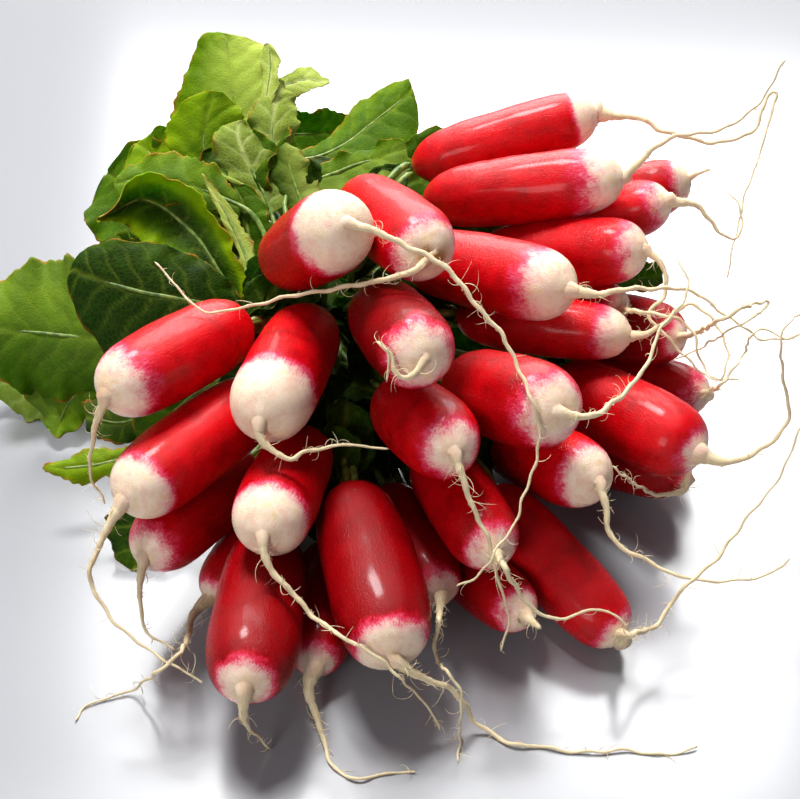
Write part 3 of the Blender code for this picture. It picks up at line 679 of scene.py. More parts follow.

# %% [markdown]
# ## Leaf finish
# A radish leaf is soft and slightly rough, deep green above and much paler below, with light veins
# that branch off a strong midrib. Its edge is often touched with rust or yellow. The blade's points
# carry `blade`, the flat place in mm, `vein`, 1 on a vein, `rim`, the distance to the edge in mm,
# `tint`, how yellow the leaf is (on the cupped leaf it also paints a lit rim and shade inside the cup),
# and a painted sheen: how much paler the blade is painted there, standing for a highlight. The finest
# net of veins, about 1.6 mm wide, is a Voronoi pattern.

# %% Make the two leaf faces


def leaf_material(name, dark, middle, bright, vein_color, vein_share, net_share):
    made, tree, shader = new_material(name)
    blade_at = node(tree, "ShaderNodeAttribute", attribute_name="blade").outputs["Vector"]
    vein_at = node(tree, "ShaderNodeAttribute", attribute_name="vein").outputs["Fac"]
    rim_at = node(tree, "ShaderNodeAttribute", attribute_name="rim").outputs["Fac"]
    tint_at = node(tree, "ShaderNodeAttribute", attribute_name="tint").outputs["Fac"]
    # painted sheen: how much paler the blade is painted, standing for a highlight
    painted_sheen_at = node(tree, "ShaderNodeAttribute", attribute_name="painted_sheen").outputs["Fac"]
    clouds = node(tree, "ShaderNodeTexNoise", {"Scale": 0.11, "Detail": 4.0}, {"Vector": blade_at})
    fine = node(tree, "ShaderNodeTexNoise", {"Scale": 1.6, "Detail": 3.0}, {"Vector": blade_at})
    net = node(tree, "ShaderNodeTexVoronoi", {"Scale": 0.62}, {"Vector": blade_at},
               feature="DISTANCE_TO_EDGE")
    net_line = node(tree, "ShaderNodeMapRange", {"From Min": 0.0, "From Max": 0.16,
                                                 "To Min": 1.0, "To Max": 0.0},
                    {"Value": net.outputs["Distance"]})
    shift = node(tree, "ShaderNodeMath", {1: 0.6, 2: -0.30}, {0: clouds.outputs["Fac"]},
                 operation="MULTIPLY_ADD")
    hue = node(tree, "ShaderNodeMath", links={0: tint_at, 1: shift.outputs[0]}, operation="ADD")
    green = ramp(tree, hue.outputs[0], [(0.05, linear(dark)), (0.5, linear(middle)),
                                        (0.95, linear(bright))])
    net_mix = node(tree, "ShaderNodeMath", {1: net_share}, {0: net_line.outputs[0]},
                   operation="MULTIPLY")
    netted = node(tree, "ShaderNodeMix", {7: linear(vein_color)},
                  {"Factor": net_mix.outputs[0], 6: green}, data_type="RGBA")
    # painted sheen: the green is paled towards #aebc54 by that mark
    lit = node(tree, "ShaderNodeMix", {7: linear("#aebc54")},
               {"Factor": painted_sheen_at, 6: netted.outputs[2]}, data_type="RGBA")
    vein_mix = node(tree, "ShaderNodeMath", {1: vein_share}, {0: vein_at}, operation="MULTIPLY")
    veined = node(tree, "ShaderNodeMix", {7: linear(vein_color)},
                  {"Factor": vein_mix.outputs[0], 6: lit.outputs[2]}, data_type="RGBA")
    rusty = node(tree, "ShaderNodeMapRange", {"From Min": 0.2, "From Max": 1.2, "To Min": 0.8,
                                              "To Max": 0.0}, {"Value": rim_at})
    broken = node(tree, "ShaderNodeMapRange", {"From Min": 0.45, "From Max": 0.62},
                  {"Value": clouds.outputs["Fac"]})
    rust_mix = node(tree, "ShaderNodeMath", links={0: rusty.outputs[0], 1: broken.outputs[0]},
                    operation="MULTIPLY")
    edged = node(tree, "ShaderNodeMix", {7: linear("#96521c")},
                 {"Factor": rust_mix.outputs[0], 6: veined.outputs[2]}, data_type="RGBA")
    tree.links.new(edged.outputs[2], shader.inputs["Base Color"])
    rough = node(tree, "ShaderNodeMapRange", {"To Min": 0.46, "To Max": 0.66},
                 {"Value": fine.outputs["Fac"]})
    tree.links.new(rough.outputs[0], shader.inputs["Roughness"])
    relief = node(tree, "ShaderNodeMath", {1: -0.6}, {0: net_line.outputs[0],
                                                      2: fine.outputs["Fac"]},
                  operation="MULTIPLY_ADD")
    bump = node(tree, "ShaderNodeBump", {"Strength": 0.35, "Distance": 0.0004},
                {"Height": relief.outputs[0]})
    tree.links.new(bump.outputs[0], shader.inputs["Normal"])
    shader.inputs["IOR"].default_value = 1.32
    shader.inputs["Specular IOR Level"].default_value = 0.10
    shader.inputs["Subsurface Weight"].default_value = 0.18
    shader.inputs["Subsurface Radius"].default_value = (0.5, 1.0, 0.1)
    shader.inputs["Subsurface Scale"].default_value = 0.002
    return made


leaf_top = leaf_material("radish leaf, upper face", "#142a02", "#3c5a02", "#708c00", "#8a9c30", 0.24,
                         0.05)
leaf_under = leaf_material("radish leaf, lower face", "#56681c", "#7a8c30", "#a8b454", "#c4cc84",
                           0.5, 0.10)
print("nodes of a leaf face:", len(leaf_top.node_tree.nodes))

# %% [markdown]
# ## The blade
# A grid is the natural start: one direction runs along the midrib, the other from edge to edge. Rows of
# three places, left edge, midrib and right edge, say where the blade lies, and a smooth curve runs
# through them in both directions. Then the edges get teeth and ripples, the veins sink and the fields
# between them puff up. Solidify gives the blade its 0.35 mm and its paler lower face.

# %% Curves through rows, veins and teeth


def through(rows, t):
    """A smooth curve through the rows, at each t from 0 to 1."""
    rows = np.asarray(rows, dtype=float)
    pad = np.vstack([2 * rows[0] - rows[1], rows, 2 * rows[-1] - rows[-2]])
    spot = np.clip(t, 0.0, 1.0) * (len(rows) - 1)
    k = np.minimum(spot.astype(int), len(rows) - 2)
    f = (spot - k)[:, None]
    a, b, c, d = (pad[k + n] for n in range(4))
    return 0.5 * (2 * b + (c - a) * f + (2 * a - 5 * b + 4 * c - d) * f ** 2
                  + (3 * b - a - 3 * c + d) * f ** 3)


def veins_of(x, y, half, phase):
    """1 on the midrib and the side veins, falling to 0 between them; x across, y along, mm."""
    across = np.abs(x)
    path = y - across * 0.62 - across ** 2 * 0.012 + np.where(x > 0, 4.3, 0.0) + phase * 8
    path = path + 0.7 * np.sin(across * 0.45 + y * 0.2 + phase * 5)
    near = np.abs((path / 8.6) % 1.0 - 0.5) * 8.6
    side = np.exp(-(near / 0.6) ** 2) * (1.0 - 0.75 * (across / np.maximum(half, 1e-6)) ** 2)
    rib = np.exp(-(x / 0.9) ** 2)
    return np.maximum(rib, side * 0.75), near


def grow_blade(name, rows, face, tint, painted_sheen, wave, detail=(44, 72), rust=1.0):
    """rows: left edge, midrib and right edge in metres, from the stalk to the tip."""
    rng = random.Random("blade" + name)
    lefts, mids, rights = (np.array(part) for part in rows)
    bpy.ops.object.select_all(action="DESELECT")
    bpy.ops.mesh.primitive_grid_add(x_subdivisions=detail[0], y_subdivisions=detail[1], size=2)
    blade = bpy.context.active_object
    blade.name = name
    flat = read_points(blade)
    s, t = flat[:, 0], (flat[:, 1] + 1) / 2
    left, mid, right = through(lefts, t), through(mids, t), through(rights, t)
    half = np.linalg.norm(right - left, axis=1) / 2 / MM
    steps = np.linspace(0.0, 1.0, 60)
    run = np.linalg.norm(np.diff(through(mids, steps), axis=0), axis=1)
    run = np.concatenate([[0.0], np.cumsum(run)]) / MM
    y = np.interp(t, steps, run)
    phase = rng.random()
    saw = (y / 3.9 + phase + 0.37 * np.sign(s) + 0.3 * np.sin(y * 0.31)) % 1.0
    bite = np.where(saw < 0.72, saw / 0.72, (1.0 - saw) / 0.28) - 0.6
    tooth = (0.85 * bite + 0.7 * np.sin(y * 0.42 + phase * 9.0 + s)) / np.maximum(half, 2.5)
    wide = s * (1.0 + tooth * np.abs(s) ** 3 * np.clip(1.4 - t, 0, 1))
    place = mid + (right - left) * (wide / 2)[:, None]
    place = place + ((left + right) / 2 - mid) * (wide ** 2)[:, None]
    write_points(blade, place)
    normal = np.zeros(len(s) * 3)
    blade.data.vertices.foreach_get("normal", normal)
    normal = normal.reshape(-1, 3)
    toward = sight(0.0, 0.0, EYE) - place.mean(axis=0)
    if normal.mean(axis=0) @ toward < 0:
        blade.data.flip_normals()
        normal = -normal
    x = s * half
    vein, near = veins_of(x, y, half, phase)
    rest = np.abs(s)
    long_mm = run[-1]
    lift = wave * np.sin(y * 0.36 + phase * 7 + np.sign(s) * 1.3) * rest ** 2.5
    lift += wave * 0.5 * np.sin(y * 0.83 + phase * 11 - np.sign(s)) * rest ** 3
    lift += wave * 0.35 * np.sin(y * 0.17 + phase * 5 + s * 1.1)
    lift *= np.clip(t * 6, 0, 1)
    lift += 0.26 * (1.0 - np.exp(-(near / 2.2) ** 2)) * (1.0 - rest ** 3)
    lift -= 0.45 * np.exp(-(x / 1.3) ** 2) + 0.12 * vein
    lift += 0.10 * np.sin(x * 0.9 + 2 * np.sin(y * 0.35)) * np.sin(y * 0.8 + phase * 4)
    lift *= np.clip(half / 6.0, 0.2, 1.0)
    place = place + normal * (lift * MM)[:, None]
    place[:, 2] = np.maximum(place[:, 2], 0.6 * MM)
    write_points(blade, place)
    offset = np.array([rng.uniform(-50, 50), rng.uniform(-50, 50), 0.0])
    mark(blade, "blade", np.stack([x, y, np.zeros_like(x)], axis=1) + offset)
    mark(blade, "vein", vein)
    mark(blade, "rim", np.minimum((1.0 - rest) * half, (1.0 - t) * long_mm) + 2.0 * (1.0 - rust))
    # painted light and shade: a tint pair lets the edge differ from the middle, which the cupped leaf
    # uses for a lit rim and a shaded inside
    edge_tint, mid_tint = tint if isinstance(tint, tuple) else (tint, tint)
    mark(blade, "tint", mid_tint + (edge_tint - mid_tint) * rest ** 2
         + 0.12 * np.sin(x * 0.12 + phase * 6) - 0.1 * (1 - t))
    # painted sheen: paler towards one side of the midrib, weaker at the edge
    mark(blade, "painted_sheen", np.clip(painted_sheen * (0.5 + 0.6 * s), 0.0, 0.85) * (1 - 0.5 * rest ** 4))
    first, second = (leaf_top, leaf_under) if face == "top" else (leaf_under, leaf_top)
    blade.data.materials.append(first)
    blade.data.materials.append(second)
    solid = blade.modifiers.new("thickness", "SOLIDIFY")
    solid.thickness = 0.35 * MM
    solid.offset = -1.0
    solid.material_offset = 1
    bpy.ops.object.modifier_apply(modifier=solid.name)
    bpy.ops.object.shade_smooth()
    return blade


def grow_stem(name, line, thick_from, thick_to, tint=0.6):
    thick = np.linspace(thick_from, thick_to, len(line)) * MM
    line = np.array(line)
    line[:, 2] = np.maximum(line[:, 2], thick + 0.3 * MM)
    thick[0] = 0.0
    thick[-1] = 0.0
    stem, _, _ = grow_skin(name, line, thick, 10)
    count = len(stem.data.vertices)
    mark(stem, "blade", read_points(stem) / MM)
    mark(stem, "vein", np.full(count, 0.7))
    mark(stem, "rim", np.full(count, 9.0))
    mark(stem, "tint", np.full(count, tint))
    mark(stem, "painted_sheen", np.zeros(count))
    stem.data.materials.append(stalk_mat)
    return stem


# %% [markdown]
# ## The leaves that show
# These leaves stand behind the radishes where everyone sees them, so each has rows of its own in the
# sight frame, in mm and rounded to the half. A leaf gives: the solid it stands for, the face that looks
# at us, its tint from dark to yellow (or two, at the edge and in the middle, which on the cupped leaf
# paint a lit rim and shade inside the cup), its painted pale sheen, standing for a highlight, how far
# its left and right edges come forward in mm, its waves in mm, and rows of left edge, midrib and right
# edge (across, up) with their distance out.

# %% Lay out the leaves that show
SEEN = {
    "upright leaf": ("leaf_01", "top", 0.8, 0.9, (-7, -4), 1, [
        (-55, 71, -52.5, 71, -49.5, 71, -90), (-73.5, 77, -53, 80, -45, 81.5, -92),
        (-77.5, 85, -53.5, 88, -44.5, 90, -94), (-74.5, 95.5, -54.5, 96.5, -43, 98, -96),
        (-70, 107, -55.5, 107, -40.5, 108.5, -97), (-67, 114.5, -56.5, 114.5, -43, 115.5, -98),
        (-63.5, 119.5, -57, 118.5, -49, 118.5, -98), (-60, 120.5, -57.5, 120, -54.5, 119.5, -98)]),
    "curled edge leaf": ("leaf_01", "under", 0.8, 0, (-3, 3), 0.6, [
        (-47, 91, -45, 92, -42.5, 93.5, -88), (-46, 99.5, -43.5, 100, -40.5, 100.5, -88),
        (-45, 107, -42.5, 107, -40, 107, -89), (-46, 112, -42.5, 112.5, -39.5, 110.5, -90),
        (-45, 115, -43, 115.5, -40.5, 113.5, -90), (-44, 116.5, -43, 116.5, -41.5, 115.5, -90)]),
    "round leaf": ("leaf_02", "top", 0.95, 0.05, (-4, -3), 0.8, [
        (-64, 72.5, -59.5, 74.5, -55, 77.5, -74), (-75.5, 81, -64, 81.5, -53, 83, -73),
        (-77, 87.5, -64, 88, -51, 89.5, -72), (-73.5, 94, -63, 94, -51.5, 95, -71),
        (-69, 98.5, -62, 98.5, -55, 98, -70), (-64, 101, -61, 101, -58, 100.5, -69)]),
    "gray leaf": ("leaf_03", "under", 0.28, 0, (-3, -3), 1.2, [
        (-45, 59.5, -42, 60.5, -38, 63.5, -58), (-53, 68.5, -45, 68.5, -38, 68.5, -60),
        (-58.5, 74.5, -48.5, 75, -39.5, 76, -62), (-61, 81.5, -51.5, 81.5, -43, 81.5, -63),
        (-60.5, 87, -53, 86.5, -46, 87, -64), (-56.5, 90, -53, 90, -49.5, 90, -65),
        (-53, 91.5, -52, 91.5, -50.5, 91.5, -65)]),
    "pale leaf": ("leaf_04", "under", 0.45, 0, (-3, -6), 1.4, [
        (-44, 61.5, -40, 63.5, -36, 66, -80), (-46, 76, -40.5, 77, -35.5, 78.5, -82),
        (-49, 85.5, -42, 85.5, -34.5, 86.5, -84), (-49.5, 92, -41.5, 93, -33.5, 94, -86),
        (-46, 98, -40.5, 98.5, -34, 98.5, -88), (-41.5, 102.5, -39.5, 102.5, -37, 101.5, -90),
        (-39.5, 105, -39, 105, -38, 104.5, -91)]),
    "far small leaf": ("leaf_05", "under", 0.85, 0, (-2, 1), 0.5, [
        (-42, 103.5, -41.5, 101.5, -41, 99.5, -100), (-38, 106, -37.5, 103, -36, 99, -100),
        (-33.5, 108.5, -32.5, 104.5, -31.5, 100.5, -100),
        (-29, 108.5, -28.5, 104.5, -28, 101.5, -100), (-25.5, 106, -25, 104, -25, 102.5, -100),
        (-23.5, 105, -23, 104, -23.5, 103.5, -100)]),
    "far dark leaf": ("leaf_06", "top", 0.6, 0, (4, 0), 1.2, [
        (-35.5, 94, -36.5, 87, -36, 78.5, -120), (-29.5, 94.5, -29.5, 87, -29, 79, -122),
        (-23.5, 94.5, -23.5, 87.5, -23, 79.5, -124), (-17, 94, -17, 88, -17, 81, -126),
        (-12, 93, -11, 89, -12, 84.5, -128)]),
    "smooth leaf": ("leaf_07", "top", 0.62, 0, (-6, 5), 0.5, [
        (-36.5, 81, -36, 78.5, -34, 74.5, -78), (-28, 83, -27, 79.5, -25, 74.5, -79),
        (-20.5, 89, -17.5, 84, -15, 77.5, -80), (-14.5, 96.5, -10.5, 89.5, -4.5, 81, -82),
        (-8, 100.5, -3.5, 95, 3.5, 84.5, -83), (-1.5, 104, 1.5, 99, 6, 88, -84),
        (2.5, 105.5, 4, 102, 5.5, 96, -85)]),
    "toothed leaf": ("leaf_08", "top", 0.48, 0.22, (-3, 4), 1.8, [
        (-34, 74.5, -32.5, 70.5, -31, 66, -62), (-24, 78, -22, 74, -19, 67.5, -61),
        (-16.5, 81.5, -14.5, 77, -11, 69, -60), (-9, 83, -7, 79, -3.5, 72, -58),
        (-3, 85, -1.5, 81, 1.5, 75, -57), (1.5, 85, 2, 82.5, 2.5, 78.5, -56)]),
    "inner pale leaf": ("leaf_08", "top", 0.3, 0.55, (-3, -3), 1.8, [
        (-36.5, 62, -32, 64, -27.5, 66, -58), (-40.5, 68, -34, 69.5, -26, 70.5, -59),
        (-42.5, 74.5, -36, 75.5, -29, 76, -60), (-41, 81, -37, 81.5, -32.5, 79.5, -61),
        (-38, 84, -37, 84, -36, 83, -62)]),
    "rimmed leaf": ("leaf_09", "top", 0.5, 0, (-2, -3), 1, [
        (0.5, 70, 4, 71, 8, 73, -74), (0.5, 78.5, 5, 78.5, 10, 79.5, -74),
        (2.5, 84.5, 8, 84.5, 13.5, 84.5, -73), (7, 87.5, 11.5, 87, 16.5, 86, -72),
        (12, 89.5, 13.5, 89, 15.5, 88, -72)]),
    "low left leaf": ("leaf_10", "top", 0.62, 0.05, (4, -5), 1.3, [
        (-52.5, 58, -52.5, 63.5, -53.5, 68, -46), (-61.5, 62, -63, 68, -60, 76, -46),
        (-70.5, 62.5, -71.5, 70.5, -68.5, 79.5, -45), (-78.5, 63.5, -79, 72, -77, 81.5, -44),
        (-86, 64.5, -86.5, 72, -84.5, 78.5, -43), (-91.5, 66.5, -91.5, 71, -90, 76, -42),
        (-93.5, 69, -93.5, 71, -92.5, 73, -42)]),
    # painted light and shade: the tint pair (1.6 at the rim, 0.15 in the middle) paints a lit rim and a
    # shaded inside of the cup
    "cupped leaf": ("leaf_11", "top", (1.6, 0.15), 0, (6, 5), 0.8, [
        (-56.5, 30, -53.5, 31.5, -51, 33, -36), (-64, 37, -58.5, 40.5, -51.5, 43, -38),
        (-72, 44.5, -65, 51, -56.5, 53, -40), (-78.5, 49, -71.5, 58, -63, 63.5, -41),
        (-84, 52, -78.5, 63.5, -71.5, 71, -40), (-89, 56, -85, 65.5, -79, 74, -37),
        (-93.5, 58, -90.5, 63.5, -87, 72, -33), (-97, 58.5, -95.5, 60.5, -94, 62.5, -28),
        (-99, 58, -99, 59, -98, 59.5, -25)]),
    "narrow fold": ("leaf_10", "under", 0.75, 0, (-1, 1), 0.3, [
        (-51, 40, -48.5, 40, -45, 40, -36), (-53.5, 48.5, -51, 48.5, -48, 49, -38),
        (-57.5, 57, -54.5, 56, -50.5, 55.5, -39), (-61, 64, -58.5, 63.5, -55, 62, -40),
        (-63.5, 70, -62, 69, -59.5, 68.5, -41), (-65, 74, -64.5, 73.5, -64, 72.5, -41)]),
    "yellow rim leaf": ("leaf_10", "top", 0.55, 0, (-4, 2), 0.9, [
        (-49, 38.5, -46.5, 40.5, -42.5, 44.5, -46), (-55.5, 53, -49.5, 54, -42, 56, -47),
        (-59, 62, -51, 62.5, -43, 61.5, -48), (-62, 68, -53.5, 68.5, -45, 65.5, -49),
        (-63, 72.5, -57, 72.5, -49, 69.5, -50), (-64, 75, -62, 74.5, -54.5, 71, -50)]),
    "hairy dark leaf": ("leaf_12", "top", 0.10, 0, (-4, -5), 0.9, [
        (-53, 21, -51.5, 26.5, -50.5, 32, -30), (-60.5, 15, -60.5, 30.5, -54.5, 37, -26),
        (-70.5, 11.5, -72, 33, -63, 45, -23), (-82, 9, -83.5, 35, -74.5, 50, -21),
        (-93.5, 11.5, -94.5, 38, -86.5, 52, -20), (-102, 21.5, -102, 40.5, -97.5, 51, -20),
        (-106.5, 32, -106.5, 42.5, -104.5, 49, -21),
        (-108.5, 38, -108.5, 41.5, -107.5, 45.5, -22)]),
    "broad left leaf": ("leaf_13", "top", 0.50, 0.15, (-6, -6), 2, [
        (-91, 7.5, -91, 18, -94.5, 33, -42), (-100, 3, -100, 20, -103, 43.5, -43),
        (-108.5, 0.5, -109.5, 21, -110.5, 47, -44), (-117, 0, -118.5, 22, -118.5, 45.5, -44),
        (-125, 3, -127, 22.5, -126, 42, -43), (-132, 9.5, -133.5, 23.5, -133, 38, -42),
        (-136, 19, -137, 24.5, -136, 31, -42)]),
    "torn lower leaf": ("leaf_13", "top", 0.55, 0.1, (-3, -3), 2, [
        (-98, 2.5, -103.5, 5, -110.5, 7.5, -50), (-99, -2, -107.5, 0.5, -121, 5, -50),
        (-102, -5.5, -110, -3.5, -122, 0, -50), (-106.5, -9.5, -111.5, -7.5, -118.5, -5.5, -49),
        (-110.5, -12.5, -112.5, -12.5, -114.5, -10.5, -48)]),
    "bluish leaf": ("leaf_14", "under", 0.3, 0, (-3, -5), 1.4, [
        (-105.5, -11.5, -107.5, -4, -110.5, 6.5, -64), (-115, -10.5, -116, -1, -118.5, 10.5, -64),
        (-123.5, -6.5, -125, 4, -126, 16, -63), (-130.5, -1, -131, 9, -131, 20.5, -62),
        (-134, 4.5, -135, 11, -135, 18, -62)]),
    "tucked leaf": ("leaf_14", "top", 0.1, 0.12, (2, -2), 1.8, [
        (-81, -9.5, -81, -4, -81, 1.5, -42), (-89.5, -14, -91, -7.5, -92.5, 1, -42),
        (-98, -13.5, -99, -6.5, -101, 0, -42), (-103, -10, -103, -5.5, -104, -1, -42)]),
    "low yellow leaf": ("leaf_15", "top", 0.74, 0.1, (-1, -2), 0.7, [
        (-89.5, -23.5, -89.5, -19, -89.5, -15, -8), (-97, -26.5, -97.5, -21, -98, -16, -7),
        (-103.5, -27.5, -104.5, -22, -106, -17.5, -6),
        (-110, -26.5, -111.5, -22.5, -112, -20, -5), (-116, -23.5, -117, -22.5, -116, -21, -4)]),
    "low dark leaf": ("leaf_16", "top", 0.22, 0, (-2, -2), 1, [
        (-78.5, -39.5, -83.5, -35.5, -92.5, -34.5, 2), (-78, -44.5, -86, -42.5, -96, -40, 3),
        (-78, -50, -86.5, -48.5, -96, -46.5, 3), (-80, -55, -86.5, -53.5, -93.5, -51.5, 3),
        (-85, -57, -87, -56.5, -89.5, -55, 3)]),
    "far right leaf": ("leaf_09", "top", 0.3, 0, (-2, 2), 1, [
        (66.5, 41.5, 65.5, 38, 66, 34.5, -66), (73.5, 44, 73.5, 39, 74.5, 35, -66),
        (80.5, 45.5, 80.5, 40, 81.5, 36, -66), (86, 44.5, 86, 40.5, 86, 38, -66)]),
    "crinkled scrap": ("leaf_10", "top", 0.35, 0, (-2, -2), 1.6, [
        (-45, 30, -49, 30.5, -53, 32, -36), (-42, 35, -48, 35.5, -54.5, 36, -36),
        (-43, 38.5, -48.5, 40, -53, 39, -37), (-47, 40.5, -49, 40.5, -51, 40, -37)]),
}
print("leaves with rows of their own:", len(SEEN))

# %% [markdown]
# ## Growing the leaves that show
# The rows become places in metres, with the edges brought forward most in the middle of the leaf. The
# stalk starts where the solid's stalk does, and runs on along the back of the blade as its midrib.

# %% Grow the leaves that show


def rows_from_layout(rows, edges):
    parts = []
    swell = [math.sin(math.pi * min(1, (n + 0.6) / len(rows))) for n in range(len(rows))]
    for k, dz in ((0, edges[0]), (2, 0.0), (4, edges[1])):
        parts.append([sight(r[k], r[k + 1], r[6] + dz * s) for r, s in zip(rows, swell)])
    return parts


leaves = []
for name, (stands_for, face, tint, painted_sheen, edges, wave, layout) in SEEN.items():
    rows = rows_from_layout(layout, edges)
    blade = grow_blade(name.replace(" ", "_"), rows, face, tint, painted_sheen, wave)
    rib = np.array(rows[1])
    solid_line = np.array([r.mean(axis=0) for r in rings_of(stands_for)])
    start = solid_line[3]
    reach = np.linalg.norm(rib[0] - start)
    lean = (rib[1] - rib[0]) / np.linalg.norm(rib[1] - rib[0])
    root = (solid_line[3] - solid_line[1]) / np.linalg.norm(solid_line[3] - solid_line[1])
    way = bend(start, start + root * reach * 0.35, rib[0] - lean * reach * 0.35, rib[0], 14)
    behind = -OUT * 0.7 * MM
    line = smooth_line(np.vstack([way[:-1], rib[:-1] + behind]), 2.0 * MM)
    leaf = join_all([blade, grow_stem(name.replace(" ", "_") + "_stem", line, 1.4, 0.3)])
    leaves.append((leaf, stands_for))
print("leaf faces so far:", sum(len(leaf.data.polygons) for leaf, _ in leaves))

# %% [markdown]
# ## The leaves behind
# The rest of the bunch is only seen from the back and the sides. Each of these leaves takes its line
# and its width straight from its solid, with the outline that radish leaves have: small lobes low down
# and a broad rounded end.

# %% Outline of a whole leaf
EDGE = [(0.0, 0.06), (0.07, 0.20), (0.12, 0.34), (0.17, 0.26), (0.24, 0.48), (0.30, 0.46),
        (0.40, 0.74), (0.52, 0.92), (0.64, 1.0), (0.75, 0.98), (0.84, 0.86), (0.92, 0.64),
        (0.97, 0.38), (1.0, 0.06)]


def rows_along(spine, half_mm, cup, roll=0.0):
    marks = np.linspace(0.0, 1.0, 15)
    mids = through(spine, marks)
    widths = np.interp(marks, *np.array(EDGE).T) * half_mm
    run = (mids[-1] - mids[0]) / np.linalg.norm(mids[-1] - mids[0])
    across = np.cross(run, OUT)
    across = across / np.linalg.norm(across)
    up = np.cross(across, run)
    across, up = (across * math.cos(roll) + up * math.sin(roll),
                  up * math.cos(roll) - across * math.sin(roll))
    lifts = up * (widths * cup)[:, None] * MM
    sides = across * widths[:, None] * MM
    return [mids - sides + lifts, mids, mids + sides + lifts]


print("points of the outline:", len(EDGE))

# %% [markdown]
# ## Growing the leaves behind
# The solids of these leaves are slim, so the blades are made half as wide again.

# %% Grow the leaves behind
BEHIND = {"leaf_17": 0.45, "leaf_18": 0.6, "leaf_19": 0.35, "leaf_20": 0.3, "leaf_21": 0.5,
          "leaf_22": 0.4}
for name, tint in BEHIND.items():
    centers = np.array([r.mean(axis=0) for r in rings_of(name)])
    ring = rings_of(name)[-4] - centers[-4]
    half_mm = np.linalg.norm(ring, axis=1).max() / MM * 1.5
    spine = smooth_line(centers[-9:], 4.0 * MM)
    blade = grow_blade(name + "_blade", rows_along(spine, half_mm, 0.25), "top", tint, 0.0, 2.2)
    stem = grow_stem(name + "_stem", smooth_line(np.vstack([centers[:-9], spine[:-2] - OUT * 0.7 * MM]),
                                                 2.0 * MM), 1.5, 0.3)
    leaves.append((join_all([blade, stem]), name))
print("leaves behind:", len(BEHIND))

# %% [markdown]
# ## Leaves that close the gaps
# A bunch is dense, and the table must not show through it. Each of these leaves belongs to a solid
# and gives its low and high end in the sight frame, its half width in mm and its tint.

# %% Fill the gaps with leaves
FILL = {
    "leaf_10": [((-46, 50, -64), (-78, 66, -68), 15, 0.3), ((-50, 40, -60), (-90, 44, -60), 14, 0.2)],
    "leaf_03": [((-42, 56, -62), (-58, 84, -76), 15, 0.35), ((-38, 52, -74), (-52, 96, -104), 15, 0.5)],
    "leaf_08": [((-26, 52, -64), (-16, 78, -72), 14, 0.2), ((-20, 50, -70), (10, 74, -70), 13, 0.35)],
    "leaf_13": [((-58, 26, -50), (-96, 12, -52), 15, 0.25), ((-56, 30, -70), (-112, 26, -78), 17, 0.5)],
    "leaf_16": [((-60, 6, -44), (-84, -16, -30), 12, 0.15)],
    "leaf_06": [((-16, 32, -58), (60, 12, -68), 14, 0.0), ((-20, 22, -40), (26, -14, -42), 10, 0.0)],
    "leaf_07": [((-12, 52, -62), (40, 57, -66), 11, 0.1), ((-20, 14, -60), (-62, -2, -58), 14, 0.0)],
    "leaf_09": [((-14, 16, -52), (-44, -14, -38), 14, 0.0), ((-4, 14, -52), (20, -16, -36), 13, 0.0)],
    "leaf_19": [((-24, 46, -92), (22, 66, -104), 15, 0.4), ((-20, 36, -84), (16, 50, -92), 14, 0.3)],
    "leaf_18": [((-44, 50, -96), (-40, 84, -140), 18, 0.55), ((-50, 46, -90), (-76, 70, -142), 18, 0.4)],
    "leaf_20": [((-56, 36, -80), (-92, 52, -126), 18, 0.6), ((-54, 28, -66), (-84, 22, -100), 15, 0.3)],
    "leaf_21": [((-30, 40, -90), (-16, 60, -140), 17, 0.5), ((-34, 36, -84), (-60, 44, -136), 17, 0.35)],
    "leaf_17": [((-50, 46, -80), (-86, 84, -98), 17, 0.7)],
}
for stands_for, group in FILL.items():
    for k, (low, high, half_mm, tint) in enumerate(group):
        start, end = sight(*low), sight(*high)
        over = OUT * 5 * MM + np.array([0, 0, 4 * MM])
        spine = bend(start, start * 0.66 + end * 0.34 + over, start * 0.3 + end * 0.7 + over, end, 12)
        blade = grow_blade("%s_fill_%d" % (stands_for, k), rows_along(spine, half_mm, 0.2),
                           "top", tint, 0.0, 2.4)
        out = BAND - band_axis * 12 * MM
        line = np.vstack([out, start * 0.5 + out * 0.5, spine[:-1] - OUT * 0.7 * MM])
        line = smooth_line(line, 2 * MM)
        stem = grow_stem("%s_fill_%d_stem" % (stands_for, k), line, 1.3, 0.3)
        leaves.append((join_all([blade, stem]), stands_for))
print("leaves in all:", len(leaves))

# %% [markdown]
# ## Young leaves at the crowns
# Between the crowns sits a crowd of short young leaves, deep green and bent every way. Their tint runs
# darker than that of the other leaves, so that they paint shade into the middle of the bunch as well as
# filling it: they are what makes it dark. Each crown grows four, from the crown back towards the band,
# with blades of fewer faces because they are many and hardly seen.

# %% Grow the young leaves


